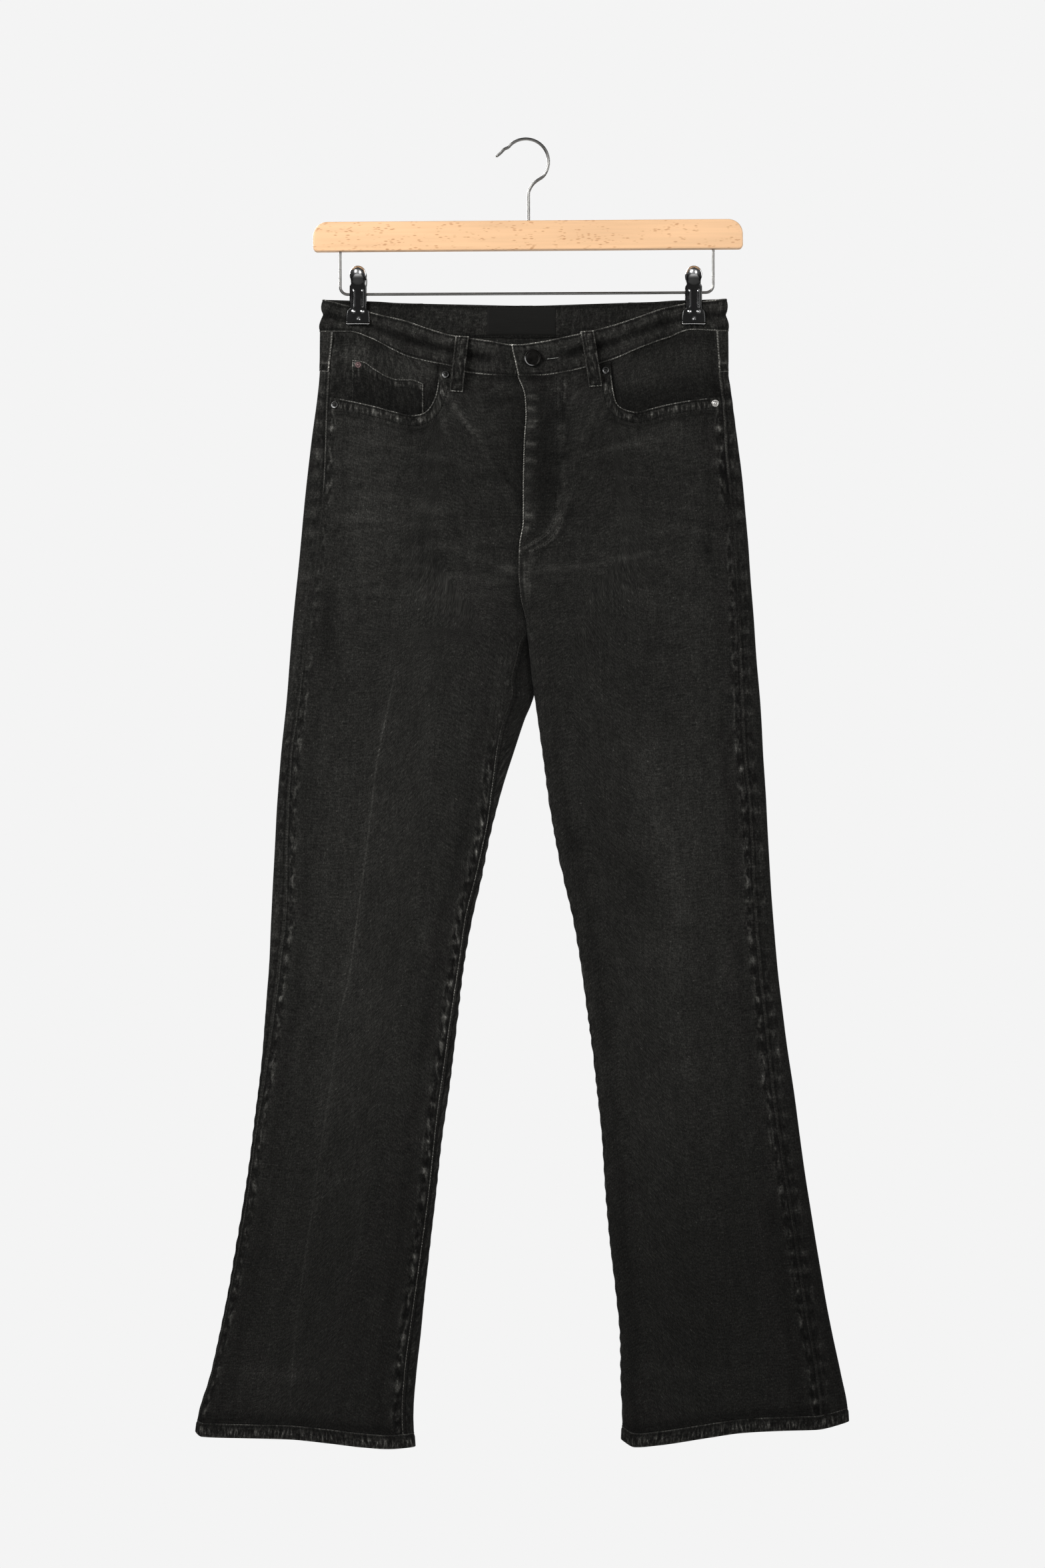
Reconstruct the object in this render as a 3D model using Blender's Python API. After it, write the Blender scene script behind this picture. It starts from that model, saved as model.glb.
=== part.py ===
"""Bootcut five-pocket jeans, hung by the waistband from a wooden clip hanger.

Sizes are in millimetres from the inside top of the hanger's hook: x to the right in the front view,
y to the back, z up. They become metres where a mesh is made. Left and right are those of the front
view. Every cloth piece is a wall between two grids of points, worked out from flattened rings: one
ring round both halves at the hip, and one ring for each leg.
"""

import math

import bmesh
import bpy
import numpy as np
from mathutils import Matrix, Vector

METRE = 0.001
SEAM_GAP = 0.3
SEAM_HALF_GAP = SEAM_GAP / 2
EDGE_GAP = 0.35
HEM_GAP = 1.0

# Wall thicknesses: one layer, the doubled waistband, the turned hem.
CLOTH = 1.2
BAND_OUT = 0.6
BAND_IN = 2.0
HEM_OUT = 0.8
HEM_IN = 2.2

# Heights that divide the garment.
CROTCH = -484.0
HIP_BLEND = 90.0
HEM_HEIGHT = 14.0

# The clips that hold the waistband.
CLIP_X = {"left": -169.3, "right": 162.7}
CLIP_BOTTOM = -183.2
PINCH_HALF = 2.3
PINCH_FLAT = 18.0
PINCH_FADE = 22.0
PINCH_DROP = 30.0
PINCH_END = CLIP_BOTTOM - 1.0

SIDES = ("left", "right")
OTHER = {"left": "right", "right": "left"}
TOWARD_CENTRE = {"left": 1.0, "right": -1.0}


def smooth(places, values, where):
    """A curve through the given points that never overshoots them, level or straight outside."""
    places, values = np.asarray(places, float), np.asarray(values, float)
    step = np.diff(places)
    slope = np.diff(values) / step
    product = slope[1:] * slope[:-1]
    total = np.where(product > 0, slope[1:] + slope[:-1], 1.0)
    between = np.where(product > 0, 2 * product / total, 0.0)
    tangent = np.concatenate([slope[:1], between, slope[-1:]])
    where = np.clip(np.asarray(where, float), places[0], places[-1])
    row = np.clip(np.searchsorted(places, where) - 1, 0, len(step) - 1)
    t = (where - places[row]) / step[row]
    start = (1 + 2 * t) * (1 - t) ** 2 * values[row] + t * (1 - t) ** 2 * step[row] * tangent[row]
    end = t * t * (3 - 2 * t) * values[row + 1] + t * t * (t - 1) * step[row] * tangent[row + 1]
    return start + end


def ease(t):
    """0 to 1 with level ends."""
    t = np.clip(t, 0.0, 1.0)
    return t * t * (3 - 2 * t)


class Table:
    """Rows of sizes with named columns, read between the rows as smooth curves."""

    def __init__(self, names, rows):
        ordered = np.array(sorted(rows), float)
        self.columns = dict(zip(names, ordered.T))
        self.places = ordered[:, 0]

    def __call__(self, name, where):
        return smooth(self.places, self.columns[name], where)


# The garment's outer edges in the front view.
OUTLINE = Table(
    ("height", "left", "right"),
    (
        (-150, -204.0, 195.5),
        (-173, -204.5, 195.0),
        (-190, -207.0, 197.0),
        (-230, -207.5, 197.5),
        (-250, -209.5, 200.0),
        (-296, -215.5, 205.5),
        (-349, -221.5, 212.0),
        (-402, -226.5, 217.0),
        (-455, -232.0, 221.0),
        (-507, -236.5, 224.5),
        (-551, -240.0, 228.0),
        (-613, -246.0, 232.0),
        (-692, -251.0, 236.0),
        (-771, -255.0, 241.0),
        (-818, -257.0, 245.0),
        (-877, -261.5, 252.5),
        (-930, -266.5, 260.0),
        (-983, -274.0, 267.5),
        (-1035, -281.0, 275.0),
        (-1088, -289.5, 284.0),
        (-1141, -299.0, 292.5),
        (-1181, -307.0, 300.5),
        (-1220, -315.5, 308.5),
        (-1263, -328.0, 316.0),
        (-1300, -332.5, 317.0),
    ),
)

# The inner edges of the legs. Above the crotch both follow the fly line.
INNER = Table(
    ("height", "left", "right"),
    (
        (-484, -2.6, -2.6),
        (-497, 0.7, -0.7),
        (-510, 2.6, 0.6),
        (-530, 4.4, 2.4),
        (-546, 5.4, 4.2),
        (-558, 2.0, 5.8),
        (-573, -4.6, 8.0),
        (-613, -17.8, 14.0),
        (-653, -29.7, 20.0),
        (-692, -39.0, 26.5),
        (-732, -47.0, 34.5),
        (-771, -56.0, 43.5),
        (-818, -64.5, 51.5),
        (-877, -72.0, 59.5),
        (-930, -78.5, 66.0),
        (-983, -85.5, 71.5),
        (-1035, -91.0, 75.0),
        (-1088, -97.0, 79.5),
        (-1141, -103.0, 85.5),
        (-1181, -107.5, 89.0),
        (-1220, -111.5, 90.5),
        (-1263, -114.5, 92.0),
        (-1300, -112.5, 90.5),
    ),
)

# The visible edge of the fly and, below it, the front rise seam down to the crotch, with the even
# line that the cloth's columns follow.
FLY_LINE = Table(
    ("height", "x", "even"),
    (
        (-235, -11.5, -5.5),
        (-254, -4.6, -5.8),
        (-273, -3.6, -6.0),
        (-299, -5.3, -6.5),
        (-350, -6.3, -7.2),
        (-378, -6.3, -8.0),
        (-401, -9.9, -9.0),
        (-427, -10.6, -10.6),
        (-452, -8.6, -8.6),
        (-475, -3.4, -3.4),
        (-484, -2.6, -2.6),
    ),
)
FLY_REACH = 0.45
BACK_RISE_X = -3.0

# How far the seams lie in from the folds, measured round the front. Below zero is round the back.
SEAMS = Table(
    ("height", "left side", "right side", "left inseam", "right inseam"),
    (
        (-150, 12.0, 11.0, 0.0, 0.0),
        (-190, 12.0, 11.0, 0.0, 0.0),
        (-232, 9.0, 9.0, 0.0, 0.0),
        (-265, 11.0, 9.5, 0.0, 0.0),
        (-317, 16.5, 13.0, 0.0, 0.0),
        (-350, 18.0, 14.0, 0.0, 0.0),
        (-402, 17.0, 13.5, 0.0, 0.0),
        (-484, 14.5, 15.0, 0.0, 0.0),
        (-497, 14.0, 15.5, 8.5, -1.0),
        (-514, 13.5, 16.0, 14.5, -2.0),
        (-537, 13.0, 17.0, 21.0, -3.0),
        (-577, 11.5, 18.0, 19.0, -3.5),
        (-603, 10.5, 18.5, 16.0, -4.0),
        (-640, 10.5, 17.0, 10.0, -4.0),
        (-686, 11.0, 16.0, 5.5, -4.0),
        (-762, 13.0, 17.0, 6.5, -4.0),
        (-818, 9.5, 17.5, 4.5, -4.0),
        (-885, 6.0, 18.5, 6.5, -4.0),
        (-955, 3.0, 20.5, 7.5, -4.0),
        (-1035, 3.5, 20.0, 7.5, -4.0),
        (-1132, 3.0, 21.5, 9.0, -4.0),
        (-1212, 1.0, 24.0, 11.0, -4.0),
        (-1300, 0.5, 32.0, 9.5, -4.0),
    ),
)

# Half depths of the hanging garment, front and back, round the hip and in each leg.
DEPTHS = Table(
    ("height", "hip front", "hip back", "leg front", "leg back"),
    (
        (-150, 10.0, 9.0, 12.0, 20.0),
        (-200, 12.5, 12.0, 12.0, 20.0),
        (-250, 14.5, 18.0, 12.0, 20.0),
        (-330, 16.0, 27.0, 12.0, 20.0),
        (-400, 15.0, 29.0, 12.5, 20.0),
        (-484, 14.0, 24.0, 13.0, 20.0),
        (-560, 14.0, 24.0, 13.0, 17.0),
        (-690, 14.0, 24.0, 12.0, 14.0),
        (-800, 14.0, 24.0, 10.0, 12.0),
        (-1000, 14.0, 24.0, 10.0, 12.0),
        (-1200, 14.0, 24.0, 12.5, 13.0),
        (-1300, 14.0, 24.0, 13.5, 14.0),
    ),
)

# Where the inner fold of each leg lies in depth: the left one passes behind the right one.
FOLD_DEPTH = Table(
    ("height", "left", "right"),
    (
        (-484, -4.0, -4.0),
        (-500, 2.0, -6.0),
        (-515, 4.5, -6.0),
        (-551, 4.5, -5.0),
        (-610, 1.0, -2.0),
        (-700, 0.0, 0.0),
    ),
)

# Heights of the waistband's edges along x, at the front and at the back.
FRONT_BAND = Table(
    ("x", "top", "seam"),
    (
        (-205, -157.0, -190.0),
        (-178, -164.0, -190.0),
        (-157, -170.0, -196.5),
        (-135, -176.0, -208.5),
        (-120, -180.0, -215.5),
        (-100, -187.0, -220.5),
        (-78, -193.5, -225.0),
        (-60, -196.5, -231.5),
        (-42, -199.0, -233.5),
        (-12, -203.0, -235.0),
        (10, -200.5, -234.5),
        (35, -195.5, -231.0),
        (53, -191.5, -227.0),
        (82, -184.0, -218.5),
        (109, -175.0, -207.0),
        (138, -165.0, -196.0),
        (160, -160.5, -188.0),
        (196, -156.5, -189.5),
    ),
)
BACK_BAND = Table(
    ("x", "top", "seam", "yoke"),
    (
        (-215, -157.0, -190.0, -228.0),
        (-128, -160.0, -192.5, -238.0),
        (-62, -161.5, -194.0, -247.0),
        (-3, -162.5, -195.0, -255.0),
        (70, -160.5, -193.0, -246.0),
        (136, -158.5, -191.0, -237.0),
        (205, -156.5, -189.5, -228.0),
    ),
)

# The front pocket openings, from the side seam to the waistband seam.
POCKETS = {
    "left": (
        (-187.0, -256.5),
        (-170.0, -260.0),
        (-148.0, -265.3),
        (-131.0, -270.0),
        (-117.0, -273.2),
        (-107.0, -272.2),
        (-100.5, -268.5),
        (-95.5, -261.5),
        (-91.5, -251.0),
        (-89.5, -239.0),
    ),
    "right": (
        (176.0, -256.0),
        (160.0, -258.0),
        (138.0, -262.0),
        (118.0, -267.0),
        (106.0, -270.0),
        (94.0, -267.3),
        (86.5, -262.0),
        (83.6, -253.5),
        (82.0, -244.5),
        (80.6, -233.0),
    ),
}
POCKET_END_X = {"left": -88.0, "right": 79.6}
POCKET_SIDE_Z = {"left": -254.5, "right": -254.5}

# The hem's lower edge on each leg.
HEMS = {
    "left": Table(
        ("x", "bottom"),
        (
            (-333, -1276.0),
            (-324, -1282.0),
            (-280, -1282.5),
            (-239, -1283.5),
            (-198, -1287.5),
            (-165, -1291.5),
            (-137, -1293.5),
            (-113, -1290.0),
        ),
    ),
    "right": Table(
        ("x", "bottom"),
        (
            (91, -1285.5),
            (104, -1292.0),
            (129, -1289.5),
            (177, -1282.0),
            (213, -1277.0),
            (255, -1275.0),
            (282, -1274.5),
            (317, -1267.5),
        ),
    ),
}
BACK_HEM_LIFT = 2.5
HEM_PUFF = (0.0, 0.3, 0.1)

# The largest folds of the front: a line, its half width, and how far the cloth sinks along it. A
# fold runs past its ends by FOLD_OVERRUN of its length, and fades over FOLD_FADE of it.
FOLD_OVERRUN = 0.15
FOLD_FADE = 0.4
FRONT_FOLDS = (
    {"start": (-66, -240), "end": (-18, -345), "width": 15.0, "depth": 3.0},
    {"start": (-84, -252), "end": (-30, -345), "width": 8.0, "depth": -1.2},
    {"start": (-197, -425), "end": (-199, -520), "width": 10.0, "depth": 1.8},
    {"start": (120, -300), "end": (60, -330), "width": 16.0, "depth": 0.9},
)

# The overlap at the front: its slanted end, and the underlap behind it.
OVERLAP_TOP_X = -17.8
OVERLAP_BOTTOM_X = -10.8
UNDERLAP_X = 16.0
UNDERLAP_DEPTH = 3.3
UNDERLAP_START_X = -20.0
UNDERLAP_EASE = 16.0
FLY_LIFT = 1.2
FLY_WIDTH = 38.0
FLY_TOP = -235.0
FLY_BOTTOM = -408.0
FLY_FADE = 20.0
BAND_PUFF = 0.8

# Grid sizes. A front's columns turn from its pocket's points to even ones over the share of its
# rows that starts at SPREAD_START and is SPREAD_OVER long.
FRONT_COLUMNS_PAST_POCKET = 6
SPREAD_START = 0.02
SPREAD_OVER = 0.25
BACK_COLUMNS = 15
YOKE_ROWS = 3
HIP_ROWS = 9
LEG_CUTS = (-635, -950)
LEG_HEIGHTS = (-488, -494, -502, -514, -530, -548, -568, -595, -635, -685, -745, -810, -880, -950,
               -1020, -1090, -1160, -1225)
BAND_STATIONS = 72
BAND_ROWS = 5
HEM_STATIONS = 36
FINE_STEPS = 801

# A point whose height depends on its x is found in a few steps that start from these heights.
FITTING_STEPS = 6
BAND_HEIGHT = -195.0
BAND_FRONT_HEIGHT = -218.0
YOKE_HEIGHT = -230.0
CUFF_HEIGHT = -1270.0

# Colours, linear: washed black denim, its worn metal, the hanger.
DENIM = (0.022, 0.022, 0.020)
DENIM_DARK = (0.014, 0.014, 0.013)
LABEL = (0.010, 0.010, 0.012)
COPPER = (0.42, 0.22, 0.16)
BLACK_METAL = (0.015, 0.015, 0.016)
CHROME = (0.62, 0.62, 0.62)
BEECH = (0.58, 0.36, 0.20)


def flat_ring(outer, inner, angle, front, back, inset):
    """A flattened ring with its folds at x = outer (angle 0) and x = inner (angle pi).

    x = outer + (inner - outer)(1 - cos a) / 2
    y = depth sin a sqrt(1 + cos^2 a), with the back's depth up to pi and the front's past it.
    """
    toward = np.sign(inner - outer)
    outer = outer + toward * inset
    inner = inner - toward * inset
    x = outer + (inner - outer) * (1 - np.cos(angle)) / 2
    depth = np.where(np.sin(angle) > 0, back, front) - inset
    y = depth * np.sin(angle) * np.sqrt(1 + np.cos(angle) ** 2)
    return x, y


def turn(distance, width):
    """The angle at which a flattened ring of this width lies this far in from its fold."""
    share = np.clip(np.abs(distance) / width, 0.0, 1.0)
    return np.sign(distance) * np.arccos(1 - 2 * share)


def near_clip(x):
    """1 under a clip, easing to 0 at its sides."""
    return sum(1 - ease((np.abs(x - place) - PINCH_FLAT) / PINCH_FADE) for place in CLIP_X.values())


def pinched(x, y, height, inset):
    """The clips press the two sides of the band together, and the cloth below recovers."""
    near = near_clip(x) * (1 - ease((PINCH_END - height) / PINCH_DROP))
    held = PINCH_HALF - inset
    excess = np.maximum(np.abs(y) - held, 0.0)
    return np.sign(y) * (np.abs(y) - near * excess)


def hip_ring(side, angle, height, inset):
    """The ring round both halves, with angle 0 at this side's fold."""
    front, back = DEPTHS("hip front", height), DEPTHS("hip back", height)
    outer, other = OUTLINE(side, height), OUTLINE(OTHER[side], height)
    x, y = flat_ring(outer, other, angle, front, back, inset)
    return x, pinched(x, y, height, inset)


def leg_ring(side, angle, height, inset):
    """One leg's ring, with angle 0 at its outer fold and pi at its inner fold."""
    front, back = DEPTHS("leg front", height), DEPTHS("leg back", height)
    outer, inner = OUTLINE(side, height), inner_edge(side, height)
    x, y = flat_ring(outer, inner, angle, front, back, inset)
    share = np.clip((x - outer) / (inner - outer), 0.0, 1.0)
    return x, y + FOLD_DEPTH(side, height) * share**3


def inner_edge(side, height):
    """The leg's inner edge, which is the fly line above the crotch."""
    return np.where(height > CROTCH, FLY_LINE("x", height), INNER(side, height))


def fold_depth(x, height):
    """How far the front sinks along its folds."""
    sunk = np.zeros(np.broadcast(x, height).shape)
    for fold in FRONT_FOLDS:
        (x0, z0), (x1, z1) = fold["start"], fold["end"]
        length = math.hypot(x1 - x0, z1 - z0)
        along = ((x - x0) * (x1 - x0) + (height - z0) * (z1 - z0)) / length**2
        off = ((x - x0) * (z1 - z0) - (height - z0) * (x1 - x0)) / length
        from_start = ease((along + FOLD_OVERRUN) / FOLD_FADE)
        from_end = ease((1 + FOLD_OVERRUN - along) / FOLD_FADE)
        sunk = sunk + fold["depth"] * from_start * from_end * np.exp(-((off / fold["width"]) ** 2))
    return sunk


def fly_lift(side, x, height):
    """The right front stands a cloth's thickness proud where the fly is stitched behind it."""
    if side == "left":
        return 0.0
    across = (x - FLY_LINE("x", height)) / FLY_WIDTH
    return FLY_LIFT * (1 - ease(across)) * ease((height - FLY_BOTTOM) / FLY_FADE)


def panel(side, face, across, height, inset=0.0):
    """Points of a front or a back: across is 0 at the side seam and 1 at the centre or the inseam.

    The hip's ring turns into the leg's ring over HIP_BLEND above the crotch, where the fronts and
    the backs of both sides come together.
    """
    across, height = np.broadcast_arrays(np.asarray(across, float), np.asarray(height, float))
    outer, other = OUTLINE(side, height), OUTLINE(OTHER[side], height)
    hip_width = np.abs(other - outer)
    leg_width = np.abs(inner_edge(side, height) - outer)
    side_seam = SEAMS(side + " side", height)
    inseam = SEAMS(side + " inseam", height)
    if face == "front":
        centre = np.abs(FLY_LINE("even", height) - outer)
        hip_angles = (2 * np.pi - turn(side_seam, hip_width), 2 * np.pi - turn(centre, hip_width))
        leg_start = 2 * np.pi - turn(side_seam, leg_width)
    else:
        centre = np.abs(BACK_RISE_X - outer)
        hip_angles = (-turn(side_seam, hip_width), turn(centre, hip_width))
        leg_start = -turn(side_seam, leg_width)
    leg_angles = (leg_start, np.pi + turn(inseam, leg_width))
    hip_angle = hip_angles[0] + (hip_angles[1] - hip_angles[0]) * across
    leg_angle = leg_angles[0] + (leg_angles[1] - leg_angles[0]) * across
    hip_x, hip_y = hip_ring(side, hip_angle, height, inset)
    leg_x, leg_y = leg_ring(side, leg_angle, height, inset)
    leg_share = ease((CROTCH + HIP_BLEND - height) / HIP_BLEND)
    x = hip_x + (leg_x - hip_x) * leg_share
    y = hip_y + (leg_y - hip_y) * leg_share
    if face == "front":
        off_line = FLY_LINE("x", height) - FLY_LINE("even", height)
        off_line = np.where(height > CROTCH, off_line, 0.0) * (1 - leg_share)
        x = x + off_line * ease((across - 1 + FLY_REACH) / FLY_REACH)
        y = y + fold_depth(x, height) - fly_lift(side, x, height)
    return np.stack([x, y, height], axis=-1)


def across_at(side, face, x, height):
    """Where a panel crosses x at a height."""
    across = np.linspace(0, 1, FINE_STEPS)
    inward = TOWARD_CENTRE[side] * panel(side, face, across, height)[:, 0]
    first, last = inward.argmin(), inward.argmax()
    return np.interp(TOWARD_CENTRE[side] * x, inward[first : last + 1], across[first : last + 1])


def on_panel(side, face, xs, heights, inset=0.0):
    """Points of a panel found from x and height."""
    xs, heights = np.broadcast_arrays(np.asarray(xs, float), np.asarray(heights, float))
    across = [across_at(side, face, x, z) for x, z in zip(xs.ravel(), heights.ravel())]
    return panel(side, face, np.reshape(across, xs.shape), heights, inset)


def seam_margins(side, face, height):
    """How much of the way across half a seam gap is, at the panel's two ends."""
    step = 1e-3
    margins = []
    for end, inner in ((0.0, step), (1.0, 1.0 - step)):
        length = np.linalg.norm(
            panel(side, face, np.full_like(height, end), height)
            - panel(side, face, np.full_like(height, inner), height),
            axis=-1,
        )
        margins.append(SEAM_HALF_GAP * step / np.maximum(length, 1e-6))
    return margins


def panel_grid(side, face, across, height, inset):
    """A panel's points with room for the seams at both ends."""
    start, end = seam_margins(side, face, height)
    return panel(side, face, start + (1 - start - end) * across, height, inset)


SHARP_FROM = math.radians(40)


def mesh_object(name, points, faces, material):
    """A mesh object from points in millimetres, with its faces turned outward."""
    mesh = bpy.data.meshes.new(name)
    mesh.from_pydata((np.asarray(points) * METRE).tolist(), [], faces)
    made = bmesh.new()
    made.from_mesh(mesh)
    if made.calc_volume(signed=True) < 0:
        bmesh.ops.reverse_faces(made, faces=made.faces[:])
    made.to_mesh(mesh)
    made.free()
    mesh.shade_smooth()
    mesh.set_sharp_from_angle(angle=SHARP_FROM)
    mesh.materials.append(material)
    obj = bpy.data.objects.new(name, mesh)
    bpy.context.scene.collection.objects.link(obj)
    return obj


def wall(name, outer, inner, material, ring=False):
    """A closed wall between two grids of points, with its edges joined."""
    rows, columns = outer.shape[:2]
    points = np.concatenate([outer.reshape(-1, 3), inner.reshape(-1, 3)])
    back = rows * columns
    spans = columns if ring else columns - 1
    faces = []
    for row in range(rows - 1):
        for column in range(spans):
            following = (column + 1) % columns
            a, b = row * columns + column, row * columns + following
            c, d = b + columns, a + columns
            faces.append((a, b, c, d))
            faces.append((back + d, back + c, back + b, back + a))
    for column in range(spans):
        following = (column + 1) % columns
        last = (rows - 1) * columns
        faces.append((following, column, back + column, back + following))
        faces.append((last + column, last + following, back + last + following, back + last + column))
    if not ring:
        for row in range(rows - 1):
            a, b = row * columns, (row + 1) * columns
            c, d = a + columns - 1, b + columns - 1
            faces.append((a, b, back + b, back + a))
            faces.append((d, c, back + c, back + d))
    return mesh_object(name, points, faces, material)


def front_top_edge(side):
    """The front's upper edge as points: the pocket opening, then the waistband seam to the fly."""
    fly_x = float(FLY_LINE("x", FLY_TOP))
    ends = np.linspace(POCKET_END_X[side], fly_x, FRONT_COLUMNS_PAST_POCKET)
    seam = [(x, float(FRONT_BAND("seam", x)) - EDGE_GAP) for x in ends]
    side_z = POCKET_SIDE_Z[side]
    side_x = panel(side, "front", 0.0, side_z)[0]
    return np.array([(float(side_x), side_z), *POCKETS[side], *seam])


def leg_rows(side, face, top, across):
    """Heights of a panel's grid: from its top edge to the crotch, then down to the hem."""
    rows = [top + (CROTCH - top) * share for share in np.linspace(0, 1, HIP_ROWS + 1)]
    rows += [np.full_like(top, height) for height in LEG_HEIGHTS]
    hem_x = panel(side, face, across, np.full_like(top, CUFF_HEIGHT))[:, 0]
    rows.append(hem_top(side, face, hem_x) + HEM_GAP)
    return np.array(rows)


def hem_top(side, face, x):
    """Height of the hem's upper edge."""
    lift = BACK_HEM_LIFT if face == "back" else 0.0
    return HEMS[side]("bottom", x) + HEM_HEIGHT + lift


def leg_walls(face, side, outer, inner, material):
    """A leg's panel as three walls, parted above and below the knee with the gap of a seam."""
    cuts = [HIP_ROWS + 1 + LEG_HEIGHTS.index(height) for height in LEG_CUTS]
    tops = [0, *cuts]
    ends = [*cuts, len(outer) - 1]
    names = (face + "_" + side, face + "_knee_" + side, face + "_calf_" + side)
    for name, top, end in zip(names, tops, ends):
        grids = [grid[top : end + 1].copy() for grid in (outer, inner)]
        for grid in grids:
            if top:
                grid[0, :, 2] -= SEAM_HALF_GAP
            if end < len(outer) - 1:
                grid[-1, :, 2] += SEAM_HALF_GAP
        wall(name, *grids, material)


def make_front(side, material):
    """A front: its columns start along the pocket opening and spread out evenly below it."""
    edge = front_top_edge(side)
    across = np.array([across_at(side, "front", x, z) for x, z in edge])
    across = (across - across[0]) / (across[-1] - across[0])
    even = np.linspace(0, 1, len(across))
    heights = leg_rows(side, "front", edge[:, 1], even)
    share = np.linspace(0, 1, len(heights))[:, None]
    spread = ease((share - SPREAD_START) / SPREAD_OVER)
    columns = across + (even - across) * spread
    outer = panel_grid(side, "front", columns, heights, 0.0)
    inner = panel_grid(side, "front", columns, heights, CLOTH)
    leg_walls("front", side, outer, inner, material)


def back_edge_heights(side, name, across, offset):
    """Heights of a line across the back, found where the panel's columns meet it."""
    height = np.full_like(across, YOKE_HEIGHT)
    for _ in range(FITTING_STEPS):
        x = panel(side, "back", across, height)[:, 0]
        height = BACK_BAND(name, x) + offset
    return height


def make_back(side, material):
    """A back, from the yoke seam to the hem, round both folds of the leg."""
    across = np.linspace(0, 1, BACK_COLUMNS + 1)
    top = back_edge_heights(side, "yoke", across, -SEAM_HALF_GAP)
    heights = leg_rows(side, "back", top, across)
    outer = panel_grid(side, "back", across[None, :], heights, 0.0)
    inner = panel_grid(side, "back", across[None, :], heights, CLOTH)
    leg_walls("back", side, outer, inner, material)


def make_yoke(side, material):
    """The yoke between the waistband and the back."""
    across = np.linspace(0, 1, BACK_COLUMNS + 1)
    top = back_edge_heights(side, "seam", across, -EDGE_GAP)
    bottom = back_edge_heights(side, "yoke", across, SEAM_HALF_GAP)
    heights = top + (bottom - top) * np.linspace(0, 1, YOKE_ROWS + 1)[:, None]
    outer = panel_grid(side, "back", across[None, :], heights, 0.0)
    inner = panel_grid(side, "back", across[None, :], heights, CLOTH)
    wall("yoke_" + side, outer, inner, material)


def band_heights(angle, x, share):
    """Height on the waistband, from its seam at share 0 to its top at 1."""
    front = np.sin(angle) < 0
    top = np.where(front, FRONT_BAND("top", x), BACK_BAND("top", x))
    seam = np.where(front, FRONT_BAND("seam", x), BACK_BAND("seam", x)) + SEAM_HALF_GAP
    return seam + (top - seam) * share


def band_points(angle, share, inset):
    """Points of the waistband from the hip's ring, with heights fitted to the edges."""
    height = np.full(angle.shape, BAND_HEIGHT)
    for _ in range(FITTING_STEPS):
        x, y = hip_ring("left", angle, height, inset)
        height = band_heights(angle, x, share)
    return np.stack([x, y, height], axis=-1)


def front_angle(x, height):
    """Angle on the hip's ring where its front crosses x."""
    outer, other = OUTLINE("left", height), OUTLINE("right", height)
    return 2 * np.pi - turn(x - outer, other - outer)


def make_waistband(material):
    """One strip from the underlap round the back to the overlap, which lies over it."""
    share = np.linspace(0, 1, BAND_ROWS)[:, None]
    station = np.linspace(0, 1, BAND_STATIONS + 1)[None, :]
    overlap_x = OVERLAP_BOTTOM_X + (OVERLAP_TOP_X - OVERLAP_BOTTOM_X) * share
    start = front_angle(UNDERLAP_X, BAND_FRONT_HEIGHT)
    end = 2 * np.pi + front_angle(overlap_x, BAND_FRONT_HEIGHT)
    angle = start + (end - start) * station
    x = band_points(angle, share, 0.0)[..., 0]
    first_turn = angle < 2 * np.pi
    under = 1 - ease((UNDERLAP_START_X - x) / UNDERLAP_EASE)
    under = np.where(first_turn, under, 0.0) * UNDERLAP_DEPTH
    puff = BAND_PUFF * np.abs(np.sin(2 * np.pi * share)) * np.ones_like(angle)
    puff = puff * (1 - near_clip(x))
    outer = band_points(angle, share, under - BAND_OUT - puff)
    inner = band_points(angle, share, under + BAND_IN)
    wall("waistband", outer, inner, material)


def make_hem(side, material):
    """The turned hem: a ring that continues the leg, a little thicker than it."""
    angle = np.linspace(0, 2 * np.pi, HEM_STATIONS, endpoint=False)[None, :]
    puff = np.array(HEM_PUFF)[:, None]
    share = np.linspace(0, 1, len(puff))[:, None]
    grids = []
    for inset in (-HEM_OUT - puff, HEM_IN + 0 * puff):
        height = np.full(np.broadcast(angle, share).shape, CUFF_HEIGHT)
        for _ in range(FITTING_STEPS):
            x, y = leg_ring(side, angle + 0 * share, height, inset)
            lift = np.where(np.sin(angle) > 0, BACK_HEM_LIFT, 0.0) * np.abs(np.sin(angle))
            height = HEMS[side]("bottom", x) + lift + HEM_HEIGHT * (1 - share)
        grids.append(np.stack([x, y, height], axis=-1))
    wall("hem_" + side, grids[0], grids[1], material, ring=True)


def sheet_on_panel(name, side, face, xs, heights, depth, thickness, material):
    """A flat piece that follows a panel, from this depth inward."""
    outer = on_panel(side, face, xs, heights, depth)
    inner = on_panel(side, face, xs, heights, depth + thickness)
    return wall(name, outer, inner, material)


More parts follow.
